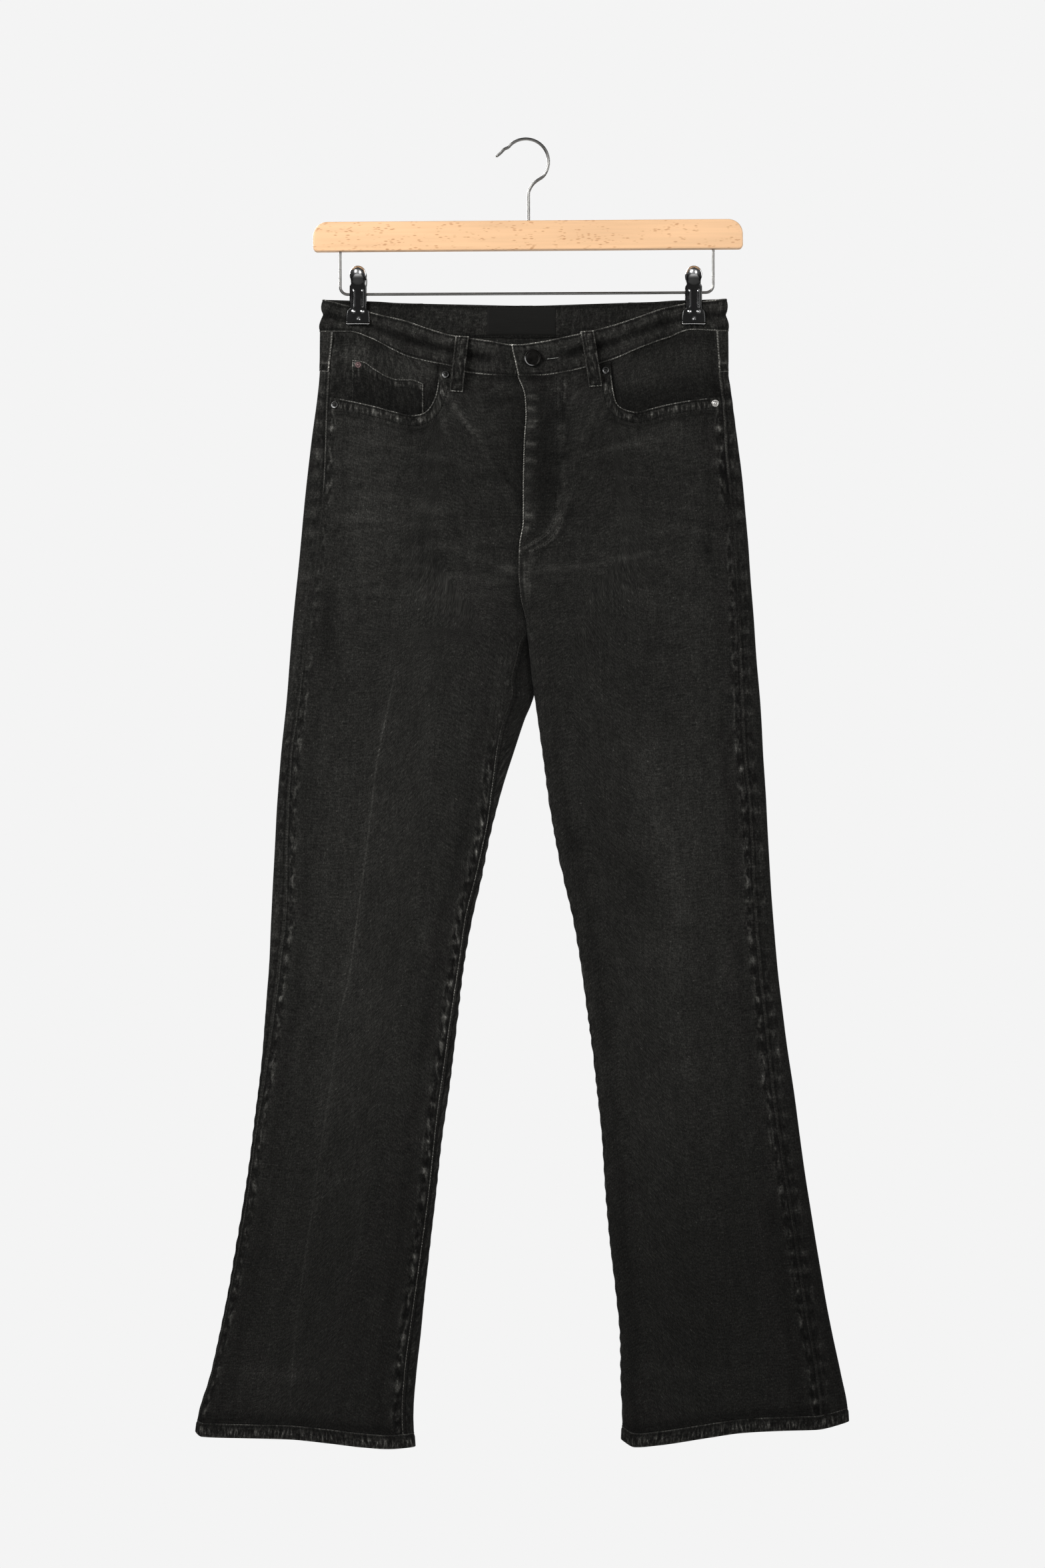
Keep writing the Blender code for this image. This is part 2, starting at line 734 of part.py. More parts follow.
# The pocket facings behind the openings, and the coin pocket on the left one.
FACING_DEPTH = {"left": 3.2, "right": 1.9}
FACING_TUCK = 13.0
FACING_DROP = 2.0
FACING_PAST_END = 9.0
FACING_UNDER_SEAM = 0.04
FACING_COLUMNS = 14
FACING_ROWS = 4
FACING_THICK = 1.0
FACING_LEAST_DROP = -250.0
FACING_MIDDLE = -225.0
FACING_END_HEIGHT = -240.0
COIN_LEFT_X = -176.5
COIN_RIGHT_X = -105.5
COIN_TUCK = 8.0
COIN_DEPTH = 1.8
COIN_COLUMNS = 8
COIN_ROWS = 3
COIN_TOP = Table(
    ("x", "top"),
    (
        (-177, -217.8),
        (-165, -219.8),
        (-155, -226.5),
        (-140, -235.0),
        (-130, -237.6),
        (-118, -237.6),
        (-105, -242.0),
    ),
)


def pocket_edge_height(side, xs):
    """Height of the pocket opening above x, with its steep end taken as one step."""
    points = sorted(POCKETS[side])
    return np.interp(xs, [x for x, _ in points], [z for _, z in points])


def make_facing(side, material):
    """The cloth behind the opening, tucked under the side seam and under the front's edge."""
    end_x = POCKET_END_X[side] + TOWARD_CENTRE[side] * FACING_PAST_END
    end = across_at(side, "front", end_x, FACING_END_HEIGHT)
    across = np.linspace(-FACING_UNDER_SEAM, end, FACING_COLUMNS)
    xs = panel(side, "front", across, FACING_MIDDLE)[:, 0]
    top = FRONT_BAND("seam", xs) - FACING_DROP
    low = np.minimum(pocket_edge_height(side, xs), FACING_LEAST_DROP) - FACING_TUCK
    heights = top + (low - top) * np.linspace(0, 1, FACING_ROWS + 1)[:, None]
    depth = FACING_DEPTH[side]
    outer = panel(side, "front", across[None, :], heights, depth)
    inner = panel(side, "front", across[None, :], heights, depth + FACING_THICK)
    wall("pocket_facing_" + side, outer, inner, material)


def make_coin_pocket(material):
    """The small pocket on the left facing, which runs down behind the front's edge."""
    xs = np.linspace(COIN_LEFT_X, COIN_RIGHT_X, COIN_COLUMNS + 1)
    top = COIN_TOP("top", xs)
    low = pocket_edge_height("left", xs) - COIN_TUCK
    heights = top + (low - top) * np.linspace(0, 1, COIN_ROWS + 1)[:, None]
    sheet_on_panel("coin_pocket", "left", "front", xs[None, :] + 0 * heights, heights, COIN_DEPTH,
                   FACING_THICK, material)


# The fly's hidden layers: the zip and the shield behind it.
ZIP = {"left": -4.0, "right": 16.0, "top": -237.5, "bottom": -392.0, "depth": 2.0, "thick": 0.8}
FLY_LAYER_ROWS = 8
FLY_LAYER_COLUMNS = 4
SHIELD = {"left": -9.0, "right": 34.0, "top": -237.5, "bottom": -402.0, "depth": 3.2, "thick": 1.0}


def make_fly_layer(name, sizes, material):
    """A strip behind the fly, laid along the fly line and over both fronts' inner sides."""
    heights = np.linspace(sizes["top"], sizes["bottom"], FLY_LAYER_ROWS + 1)[:, None]
    offsets = np.linspace(sizes["left"], sizes["right"], FLY_LAYER_COLUMNS + 1)[None, :]
    xs = FLY_LINE("x", heights) + offsets
    grids = []
    for depth in (sizes["depth"], sizes["depth"] + sizes["thick"]):
        angle = front_angle(xs, heights)
        x, y = hip_ring("left", angle, heights + 0 * offsets, depth)
        y = y + fold_depth(x, heights)
        grids.append(np.stack([x, y, heights + 0 * x], axis=-1))
    wall(name, grids[0], grids[1], material)


# The back patch pockets, plain and five-sided.
PATCH = {
    "top": -284.0,
    "top_width": 134.0,
    "low_width": 118.0,
    "side_height": 118.0,
    "point": 20.0,
    "tilt": 5.0,
    "off": 0.7,
    "thick": 1.0,
    "turn": 0.5,
}
PATCH_COLUMNS = 8
PATCH_ROWS = 7
PATCH_X = {"left": -103.0, "right": 97.0}


def make_patch_pocket(side, material):
    """A back pocket: straight at the top, with a point at the bottom."""
    across = np.linspace(-1, 1, PATCH_COLUMNS + 1)[None, :]
    down = np.linspace(0, 1, PATCH_ROWS + 1)[:, None]
    width = PATCH["top_width"] + (PATCH["low_width"] - PATCH["top_width"]) * down
    drop = PATCH["side_height"] + PATCH["point"] * (1 - np.abs(across))
    outward = -TOWARD_CENTRE[side] * PATCH["tilt"]
    xs = PATCH_X[side] + across * width / 2 + outward * down
    heights = PATCH["top"] - drop * down + outward * across * PATCH["turn"]
    sheet_on_panel("back_pocket_" + side, side, "back", xs, heights, -PATCH["off"] - PATCH["thick"],
                   PATCH["thick"], material)


# The belt loops: name, side and face, top and bottom in x, how far they stand off.
LOOP_WIDTH = 13.0
LOOP_LENGTH = 55.0
LOOP_THICK = 1.6
LOOP_STAND = 5.4
LOOP_ABOVE_TOP = 0.5
LOOP_SHARES = (0, 0.05, 0.12, 0.2, 0.35, 0.5, 0.65, 0.8, 0.9, 1.0)
LOOP_FIXED_TOP = 0.2
LOOP_FIXED_LOW = 0.22
LOOP_BAND_FROM = 4.0
LOOP_BAND_OVER = 6.0
LOOPS = (
    {"name": "belt_loop_front_left", "face": "front", "top": -66.0, "bottom": -72.0},
    {"name": "belt_loop_front_right", "face": "front", "top": 57.0, "bottom": 65.5},
    {"name": "belt_loop_back_left", "face": "back", "top": -112.0, "bottom": -114.0},
    {"name": "belt_loop_back_centre", "face": "back", "top": -3.0, "bottom": -3.0},
    {"name": "belt_loop_back_right", "face": "back", "top": 105.0, "bottom": 107.0},
)


def hip_point(face, x, height, inset):
    """A point on the hip's ring found from x and height."""
    angle = front_angle(x, height)
    if face == "back":
        angle = 2 * np.pi - angle
    return hip_ring("left", angle, height, inset)


def make_loop(sizes, material):
    """A belt loop, fixed at its two ends and standing off the waistband between them."""
    down = np.array(LOOP_SHARES)[:, None]
    across = np.array([-0.5, 0.0, 0.5])[None, :] * LOOP_WIDTH
    middle = sizes["top"] + (sizes["bottom"] - sizes["top"]) * down
    band = FRONT_BAND if sizes["face"] == "front" else BACK_BAND
    top = band("top", sizes["top"]) + LOOP_ABOVE_TOP
    seam = band("seam", sizes["top"])
    heights = top - LOOP_LENGTH * down + 0 * across
    stand = ease(down / LOOP_FIXED_TOP) * ease((1 - down) / LOOP_FIXED_LOW) * LOOP_STAND
    on_band = ease((heights - seam + LOOP_BAND_FROM) / LOOP_BAND_OVER)
    base = SEAM_GAP + (BAND_OUT + BAND_PUFF) * on_band
    xs = middle + across
    grids = []
    for extra in (LOOP_THICK, 0.0):
        x, y = hip_point(sizes["face"], xs, heights, 0.0)
        outward = -1.0 if sizes["face"] == "front" else 1.0
        if sizes["face"] == "front":
            y = y + fold_depth(x, heights)
        grids.append(np.stack([x, y + outward * (base + stand + extra), heights], axis=-1))
    wall(sizes["name"], grids[0], grids[1], material)


# The plain label inside the back of the waistband.
LABEL_COLUMNS = 8
LABEL_ROWS = 2
LABEL_SIZES = {"left": -42.0, "right": 26.5, "top": -164.5, "bottom": -191.5, "thick": 0.5}


def make_label(material):
    """A plain woven label on the inner face of the waistband."""
    xs = np.linspace(LABEL_SIZES["left"], LABEL_SIZES["right"], LABEL_COLUMNS + 1)[None, :]
    heights = np.linspace(LABEL_SIZES["top"], LABEL_SIZES["bottom"], LABEL_ROWS + 1)[:, None]
    grids = []
    for inset in (BAND_IN + SEAM_GAP, BAND_IN + SEAM_GAP + LABEL_SIZES["thick"]):
        x, y = hip_point("back", xs + 0 * heights, heights + 0 * xs, inset)
        grids.append(np.stack([x, y, heights + 0 * x], axis=-1))
    wall("waist_label", grids[0], grids[1], material)


TURNED_SEGMENTS = 24


def turned(name, profile, centre, normal, material, segments=TURNED_SEGMENTS):
    """A turned piece: rows of radius and height above its seat, on an axis along the normal."""
    axis = Vector(normal).normalized()
    turn_to = axis.to_track_quat("Z", "Y").to_matrix().to_4x4()
    place = Matrix.Translation(Vector(centre)) @ turn_to
    points, faces = [], []
    for radius, rise in profile:
        for step in range(segments):
            angle = 2 * math.pi * step / segments
            points.append(place @ Vector((radius * math.cos(angle), radius * math.sin(angle), rise)))
    last = (len(profile) - 1) * segments
    for ring in range(len(profile) - 1):
        for step in range(segments):
            a, b = ring * segments + step, ring * segments + (step + 1) % segments
            faces.append((a, b, b + segments, a + segments))
    faces.append(tuple(reversed(range(segments))))
    faces.append(tuple(range(last, last + segments)))
    return mesh_object(name, [tuple(point) for point in points], faces, material)


# The button on the overlap and the pocket rivets.
BUTTON = {"x": 3.3, "z": -217.0}
BUTTON_PROFILE = ((3.6, 0.0), (3.6, 1.2), (7.6, 1.4), (8.5, 2.1), (8.3, 3.0), (7.2, 3.6), (4.5, 3.3))
RIVET_SEGMENTS = 12
RIVET_REACH = 3.0
RIVET_PROFILE = ((3.7, 0.0), (3.7, 0.5), (3.0, 1.1), (1.6, 1.5))
RIVETS = (
    {"name": "rivet_left_side", "side": "left", "x": -192.0, "z": -262.5, "rise": 0.5},
    {"name": "rivet_left_waist", "side": "left", "x": -82.5, "z": -233.0, "rise": 0.5},
    {"name": "rivet_right_waist", "side": "right", "x": 75.5, "z": -228.8, "rise": 0.5},
    {"name": "rivet_right_side", "side": "right", "x": 183.5, "z": -261.0, "rise": 0.5},
    {"name": "rivet_coin", "side": "left", "x": -169.0, "z": -224.5, "rise": 0.9 - COIN_DEPTH},
)


def make_rivet(sizes, material):
    """A rivet seated square on the cloth."""
    x, z, side = sizes["x"], sizes["z"], sizes["side"]
    here = on_panel(side, "front", x, z)
    beside = on_panel(side, "front", x + RIVET_REACH, z)
    above = on_panel(side, "front", x, z + RIVET_REACH)
    normal = np.cross(beside - here, above - here)
    normal = normal / np.linalg.norm(normal)
    centre = here + normal * sizes["rise"]
    turned(sizes["name"], RIVET_PROFILE, tuple(centre), tuple(normal), material, RIVET_SEGMENTS)


def make_button(material):
    """The shank button on the overlap."""
    x, y = hip_point("front", BUTTON["x"], BUTTON["z"], -BAND_OUT - BAND_PUFF)
    centre = (float(x), float(y) - SEAM_GAP, BUTTON["z"])
    turned("button", BUTTON_PROFILE, centre, (0, -1, 0), material)


# The hanger: a beech bar, the hook that holds everything, the lower wire and the two clips.
BAR = {"length": 425.0, "height": 29.0, "thick": 13.0, "x": -1.2, "z": -94.4, "top_radius": 16.0,
       "low_radius": 4.0, "tilt": math.radians(0.4), "bevel": 1.2, "bevel_from": math.radians(50)}
BEND_STEPS = 5
HOOK = {"wire": 1.5, "radius": 22.5, "x": -3.3, "stem_x": -0.6, "from": -42.0, "to": 142.0, "steps": 14}
HOOK_KINK = ((-0.6, -65.0), (-0.6, -53.0), (0.3, -49.0), (3.0, -44.2), (7.0, -40.4))
HOOK_TIP = ((-24.5, -8.6), (-28.5, -12.6), (-33.3, -16.4))
RAIL = {"wire": 1.4, "left": -187.0, "right": 182.2, "z_left": -152.6, "z_right": -150.6,
        "bend": 7.5}


def bar_point(x, z):
    """A point of the tilted bar from its own length and height."""
    cos, sin = math.cos(BAR["tilt"]), math.sin(BAR["tilt"])
    return BAR["x"] + x * cos - z * sin, BAR["z"] + x * sin + z * cos


def make_bar(material):
    """An outline with round corners, extruded, with a small bevel on its edges."""
    half, rise = BAR["length"] / 2, BAR["height"] / 2
    corners = (
        (half, rise, BAR["top_radius"], 0),
        (-half, rise, BAR["top_radius"], 90),
        (-half, -rise, BAR["low_radius"], 180),
        (half, -rise, BAR["low_radius"], 270),
    )
    outline = []
    for x, z, radius, start in corners:
        radius = min(radius, rise)
        centre_x, centre_z = x - math.copysign(radius, x), z - math.copysign(radius, z)
        for step in range(BEND_STEPS + 1):
            angle = math.radians(start + 90 * step / BEND_STEPS)
            outline.append((centre_x + radius * math.cos(angle), centre_z + radius * math.sin(angle)))
    placed = [bar_point(x, z) for x, z in outline]
    count = len(placed)
    points = [(x, -BAR["thick"] / 2, z) for x, z in placed]
    points += [(x, BAR["thick"] / 2, z) for x, z in placed]
    faces = [tuple(range(count)), tuple(reversed(range(count, 2 * count)))]
    for step in range(count):
        following = (step + 1) % count
        faces.append((following, step, count + step, count + following))
    bar = mesh_object("hanger_bar", points, faces, material)
    bevel = bar.modifiers.new("edges", "BEVEL")
    bevel.width = BAR["bevel"] * METRE
    bevel.segments = 2
    bevel.limit_method = "ANGLE"
    bevel.angle_limit = BAR["bevel_from"]


def wire_object(name, route, radius, material):
    """A round wire along a route of points in millimetres."""
    curve = bpy.data.curves.new(name, "CURVE")
    curve.dimensions = "3D"
    spline = curve.splines.new("POLY")
    spline.points.add(len(route) - 1)
    for point, (x, y, z) in zip(spline.points, route):
        point.co = (x * METRE, y * METRE, z * METRE, 1.0)
    curve.bevel_depth = radius * METRE
    curve.bevel_resolution = 2
    curve.use_fill_caps = True
    curve.materials.append(material)
    obj = bpy.data.objects.new(name, curve)
    bpy.context.scene.collection.objects.link(obj)
    return obj


def hook_route():
    """The stem, a kink out to the right, the round hook over the top and its turned-out tip."""
    radius, centre_x = HOOK["radius"], HOOK["x"]
    centre_z = HOOK["wire"] - radius
    stem_low = BAR["z"] + BAR["height"] / 2 + SEAM_GAP
    route = [(HOOK["stem_x"], stem_low), *HOOK_KINK]
    for step in range(HOOK["steps"] + 1):
        share = step / HOOK["steps"]
        angle = math.radians(HOOK["from"] + (HOOK["to"] - HOOK["from"]) * share)
        route.append((centre_x + radius * math.cos(angle), centre_z + radius * math.sin(angle)))
    return [(x, 0.0, z) for x, z in (*route, *HOOK_TIP)]


def rail_route():
    """Down from the bar, along under it and up again, with round bends."""
    bend = RAIL["bend"]
    bar_low = BAR["z"] - BAR["height"] / 2 - SEAM_GAP
    slope = math.tan(BAR["tilt"])
    route = [(RAIL["left"], bar_low + slope * RAIL["left"])]
    for step in range(BEND_STEPS + 1):
        angle = math.radians(180 + 90 * step / BEND_STEPS)
        route.append((RAIL["left"] + bend + bend * math.cos(angle),
                      RAIL["z_left"] + bend + bend * math.sin(angle)))
    for step in range(BEND_STEPS + 1):
        angle = math.radians(270 + 90 * step / BEND_STEPS)
        route.append((RAIL["right"] - bend + bend * math.cos(angle),
                      RAIL["z_right"] + bend + bend * math.sin(angle)))
    route.append((RAIL["right"], bar_low + slope * RAIL["right"]))
    return [(x, 0.0, z) for x, z in route]


def rail_height(x):
    """Height of the wire's level run."""
    share = (x - RAIL["left"]) / (RAIL["right"] - RAIL["left"])
    return RAIL["z_left"] + (RAIL["z_right"] - RAIL["z_left"]) * share


# A clip's pressed lever: height, half width, inner face's distance from the middle, thickness, crown.
JAW_FACE = PINCH_HALF + BAND_OUT + SEAM_GAP
CLIP_LEVER = (
    (-183.2, 11.2, JAW_FACE, 1.3, 0.0),
    (-182.2, 12.2, JAW_FACE, 1.9, 0.2),
    (-177.0, 12.1, JAW_FACE, 1.9, 0.8),
    (-169.2, 11.2, JAW_FACE, 1.9, 0.9),
    (-166.5, 8.4, JAW_FACE + 0.2, 1.9, 0.8),
    (-156.0, 8.3, JAW_FACE + 0.4, 1.9, 0.8),
    (-145.0, 8.2, JAW_FACE + 1.4, 1.9, 0.8),
    (-141.0, 7.0, JAW_FACE + 2.2, 1.9, 1.0),
    (-137.5, 7.4, JAW_FACE + 3.0, 1.9, 2.4),
    (-133.3, 8.0, JAW_FACE + 3.8, 1.9, 3.6),
    (-129.0, 6.8, JAW_FACE + 4.2, 1.9, 2.8),
    (-126.2, 4.2, JAW_FACE + 4.4, 1.7, 1.4),
    (-125.0, 1.6, JAW_FACE + 4.5, 1.3, 0.3),
)
CLIP_COLUMNS = (-1.0, -0.75, 0.0, 0.75, 1.0)
SPRING = {"bore": 1.8, "outer": 3.1, "half_length": 6.0, "segments": 14}


def make_clip_lever(side, face, material):
    """One lever of a clip, with a crowned outer face, wide at the jaw and round at the head."""
    outward = -1.0 if face == "front" else 1.0
    across = np.array(CLIP_COLUMNS)
    rows = np.array(CLIP_LEVER)
    height = rows[:, :1] + 0 * across
    x = CLIP_X[side] + rows[:, 1:2] * across
    inner_y = outward * (rows[:, 2:3] + 0 * across)
    crown = rows[:, 4:5] * (1 - across**2)
    outer_y = inner_y + outward * (rows[:, 3:4] + crown)
    outer = np.stack([x, outer_y, height], axis=-1)
    inner = np.stack([x, inner_y, height], axis=-1)
    wall(f"clip_{side}_{face}", outer, inner, material)


def make_clip_spring(side, material):
    """The spring coiled round the wire, as a plain sleeve."""
    angles = np.linspace(0, 2 * np.pi, SPRING["segments"], endpoint=False)[None, :]
    ends = np.array([-1.0, 1.0])[:, None] * SPRING["half_length"]
    middle = rail_height(CLIP_X[side])
    grids = []
    for radius in (SPRING["outer"], SPRING["bore"]):
        x = CLIP_X[side] + ends + 0 * angles
        y = radius * np.cos(angles) + 0 * ends
        z = middle + radius * np.sin(angles) + 0 * ends
        grids.append(np.stack([x, y, z], axis=-1))
    wall(f"clip_{side}_spring", grids[0], grids[1], material, ring=True)


def make_material(name, colour, roughness, metallic=0.0):
    material = bpy.data.materials.new(name)
    material.use_nodes = True
    shader = material.node_tree.nodes["Principled BSDF"]
    shader.inputs["Base Color"].default_value = (*colour, 1.0)
    shader.inputs["Roughness"].default_value = roughness
    shader.inputs["Metallic"].default_value = metallic
    return material


def main():
    for obj in list(bpy.data.objects):
        bpy.data.objects.remove(obj, do_unlink=True)
    denim = make_material("washed black denim", DENIM, 0.9)
    facing = make_material("dark denim", DENIM_DARK, 0.9)
    label = make_material("woven label", LABEL, 0.5)
    copper = make_material("worn copper", COPPER, 0.35, 1.0)
    black = make_material("black metal", BLACK_METAL, 0.3, 1.0)
    chrome = make_material("chrome", CHROME, 0.12, 1.0)
    beech = make_material("beech", BEECH, 0.45)
    for side in SIDES:
        make_front(side, denim)
        make_back(side, denim)
        make_yoke(side, denim)
        make_hem(side, denim)
        make_facing(side, facing)
        make_patch_pocket(side, denim)
    make_waistband(denim)
    make_coin_pocket(facing)
    make_fly_layer("zip", ZIP, black)
    make_fly_layer("fly_shield", SHIELD, facing)
    for sizes in LOOPS:
        make_loop(sizes, denim)
    make_label(label)
    make_button(black)
    for sizes in RIVETS:
        make_rivet(sizes, copper)
    make_bar(beech)
    wire_object("hanger_hook", hook_route(), HOOK["wire"], chrome)
    wire_object("hanger_wire", rail_route(), RAIL["wire"], chrome)
    for side in SIDES:
        make_clip_lever(side, "front", black)
        make_clip_lever(side, "back", black)
        make_clip_spring(side, chrome)


main()
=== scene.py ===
"""Bootcut jeans on a wooden clip hanger: the finish of every surface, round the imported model.

Shapes are worked out in millimetres from the inside top of the hanger's hook, with x to the right in
the front view, y to the back and z up, and become metres where a mesh is made. Left and right are
those of the front view. Each cloth piece is a thin shell between two grids of points.
"""

import math

import bpy
import numpy as np
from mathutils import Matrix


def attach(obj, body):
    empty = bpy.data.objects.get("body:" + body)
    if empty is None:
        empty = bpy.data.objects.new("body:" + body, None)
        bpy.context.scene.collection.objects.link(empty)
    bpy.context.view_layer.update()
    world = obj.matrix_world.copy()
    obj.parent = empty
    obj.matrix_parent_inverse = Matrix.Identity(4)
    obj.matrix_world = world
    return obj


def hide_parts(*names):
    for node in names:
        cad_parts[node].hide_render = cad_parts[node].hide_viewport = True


bl_info = {
    "name": "Bootcut Jeans on a Clip Hanger",
    "version": (1, 0, 0),
    "blender": (4, 5, 0),
    "location": "3D View > Sidebar > Jeans",
    "description": "Builds black washed jeans on a clip hanger round the packed model",
    "category": "Object",
}

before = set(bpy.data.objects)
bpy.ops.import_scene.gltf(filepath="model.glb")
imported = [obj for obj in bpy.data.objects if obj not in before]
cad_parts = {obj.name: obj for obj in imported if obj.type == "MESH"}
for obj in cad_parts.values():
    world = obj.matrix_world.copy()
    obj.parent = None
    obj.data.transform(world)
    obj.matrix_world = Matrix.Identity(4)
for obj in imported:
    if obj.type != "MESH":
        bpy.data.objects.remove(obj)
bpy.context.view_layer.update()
METRE = 0.001
SIDES = ("left", "right")
OTHER = {"left": "right", "right": "left"}
INWARD = {"left": 1.0, "right": -1.0}

# Thicknesses and heights, as in the solids.
CLOTH = 1.2
BAND_OUT = 0.6
BAND_IN = 2.0
HEM_IN = 2.2
HEM_HEIGHT = 14.0
CROTCH = -484.0
HIP_BLEND = 90.0
CLIP_X = {"left": -169.3, "right": 162.7}
CLIP_BOTTOM = -183.2
PINCH_HALF, PINCH_FLAT, PINCH_FADE, PINCH_DROP = 2.3, 18.0, 22.0, 30.0


def smooth(places, values, where):
    """A curve through the given points that never overshoots them: monotone cubic pieces."""
    places, values = np.asarray(places, float), np.asarray(values, float)
    step = np.diff(places)
    slope = np.diff(values) / step
    product = slope[1:] * slope[:-1]
    total = np.where(product > 0, slope[1:] + slope[:-1], 1.0)
    between = np.where(product > 0, 2 * product / total, 0.0)
    tangent = np.concatenate([slope[:1], between, slope[-1:]])
    where = np.clip(np.asarray(where, float), places[0], places[-1])
    row = np.clip(np.searchsorted(places, where) - 1, 0, len(step) - 1)
    t = (where - places[row]) / step[row]
    start = (1 + 2 * t) * (1 - t) ** 2 * values[row] + t * (1 - t) ** 2 * step[row] * tangent[row]
    end = t * t * (3 - 2 * t) * values[row + 1] + t * t * (t - 1) * step[row] * tangent[row + 1]
    return start + end


def ease(t):
    """0 to 1 with level ends: t^2 (3 - 2 t)."""
    t = np.clip(t, 0.0, 1.0)
    return t * t * (3 - 2 * t)


def bell(distance, width):
    """1 at no distance, falling to 0 past the width: exp(-(distance / width)^2)."""
    return np.exp(-((distance / width) ** 2))


class Table:
    """Rows of sizes with named columns, read between the rows as smooth curves."""

    def __init__(self, names, rows):
        ordered = np.array(sorted(rows), float)
        self.columns = dict(zip(names.split(", "), ordered.T))
        self.places = ordered[:, 0]

    def __call__(self, name, where):
        return smooth(self.places, self.columns[name], where)


OUTLINE = Table("height, left, right", (
    (-150, -204, 195.5), (-173, -204.5, 195), (-190, -207, 197), (-230, -207.5, 197.5), (-250, -209.5, 200),
    (-296, -215.5, 205.5), (-349, -221.5, 212), (-402, -226.5, 217), (-455, -232, 221),
    (-507, -236.5, 224.5), (-551, -240, 228), (-613, -246, 232), (-692, -251, 236), (-771, -255, 241),
    (-818, -257, 245), (-877, -261.5, 252.5), (-930, -266.5, 260), (-983, -274, 267.5), (-1035, -281, 275),
    (-1088, -289.5, 284), (-1141, -299, 292.5), (-1181, -307, 300.5), (-1220, -315.5, 308.5),
    (-1263, -328, 316), (-1300, -332.5, 317),
))
INNER = Table("height, left, right", (
    (-484, -2.6, -2.6), (-497, 0.7, -0.7), (-510, 2.6, 0.6), (-530, 4.4, 2.4), (-546, 5.4, 4.2),
    (-558, 2, 5.8), (-573, -4.6, 8), (-613, -17.8, 14), (-653, -29.7, 20), (-692, -39, 26.5),
    (-732, -47, 34.5), (-771, -56, 43.5), (-818, -64.5, 51.5), (-877, -72, 59.5), (-930, -78.5, 66),
    (-983, -85.5, 71.5), (-1035, -91, 75), (-1088, -97, 79.5), (-1141, -103, 85.5), (-1181, -107.5, 89),
    (-1220, -111.5, 90.5), (-1263, -114.5, 92), (-1300, -112.5, 90.5),
))
FLY_LINE = Table("height, x, even", (
    (-235, -11.5, -5.5), (-254, -4.6, -5.8), (-273, -3.6, -6), (-299, -5.3, -6.5), (-350, -6.3, -7.2),
    (-378, -6.3, -8), (-401, -9.9, -9), (-427, -10.6, -10.6), (-452, -8.6, -8.6), (-475, -3.4, -3.4),
    (-484, -2.6, -2.6),
))
FLY_REACH = 0.45
BACK_RISE_X = -3.0
SEAMS = Table("height, left side, right side, left inseam, right inseam", (
    (-150, 12, 11, 0, 0), (-190, 12, 11, 0, 0), (-232, 9, 9, 0, 0), (-265, 11, 9.5, 0, 0),
    (-317, 16.5, 13, 0, 0), (-350, 18, 14, 0, 0), (-402, 17, 13.5, 0, 0), (-484, 14.5, 15, 0, 0),
    (-497, 14, 15.5, 8.5, -1), (-514, 13.5, 16, 14.5, -2), (-537, 13, 17, 21, -3),
    (-577, 11.5, 18, 19, -3.5), (-603, 10.5, 18.5, 16, -4), (-640, 10.5, 17, 10, -4),
    (-686, 11, 16, 5.5, -4), (-762, 13, 17, 6.5, -4), (-818, 9.5, 17.5, 4.5, -4), (-885, 6, 18.5, 6.5, -4),
    (-955, 3, 20.5, 7.5, -4), (-1035, 3.5, 20, 7.5, -4), (-1132, 3, 21.5, 9, -4), (-1212, 1, 24, 11, -4),
    (-1300, 0.5, 32, 9.5, -4),
))
DEPTHS = Table("height, hip front, hip back, leg front, leg back", (
    (-150, 10, 9, 12, 20), (-200, 12.5, 12, 12, 20), (-250, 14.5, 18, 12, 20), (-330, 16, 27, 12, 20),
    (-400, 15, 29, 12.5, 20), (-484, 14, 24, 13, 20), (-560, 14, 24, 13, 17), (-690, 14, 24, 12, 14),
    (-800, 14, 24, 10, 12), (-1000, 14, 24, 10, 12), (-1200, 14, 24, 12.5, 13), (-1300, 14, 24, 13.5, 14),
))
FOLD_DEPTH = Table("height, left, right", (
    (-484, -4, -4), (-500, 2, -6), (-515, 4.5, -6), (-551, 4.5, -5), (-610, 1, -2), (-700, 0, 0),
))
FRONT_BAND = Table("x, top, seam", (
    (-205, -157, -190), (-178, -164, -190), (-157, -170, -196.5), (-135, -176, -208.5),
    (-120, -180, -215.5), (-100, -187, -220.5), (-78, -193.5, -225), (-60, -196.5, -231.5),
    (-42, -199, -233.5), (-12, -203, -235), (10, -200.5, -234.5), (35, -195.5, -231), (53, -191.5, -227),
    (82, -184, -218.5), (109, -175, -207), (138, -165, -196), (160, -160.5, -188), (196, -156.5, -189.5),
))
BACK_BAND = Table("x, top, seam, yoke", (
    (-215, -157, -190, -228), (-128, -160, -192.5, -238), (-62, -161.5, -194, -247),
    (-3, -162.5, -195, -255), (70, -160.5, -193, -246), (136, -158.5, -191, -237),
    (205, -156.5, -189.5, -228),
))
POCKETS = {
    "left": ((-187, -256.5), (-170, -260), (-148, -265.3), (-131, -270),
             (-117, -273.2), (-107, -272.2), (-100.5, -268.5), (-95.5, -261.5),
             (-91.5, -251), (-89.5, -239)),
    "right": ((176, -256), (160, -258), (138, -262), (118, -267), (106, -270),
              (94, -267.3), (86.5, -262), (83.6, -253.5), (82, -244.5), (80.6, -233)),
}
POCKET_END_X = {"left": -88.0, "right": 79.6}
POCKET_SIDE_Z = -254.5
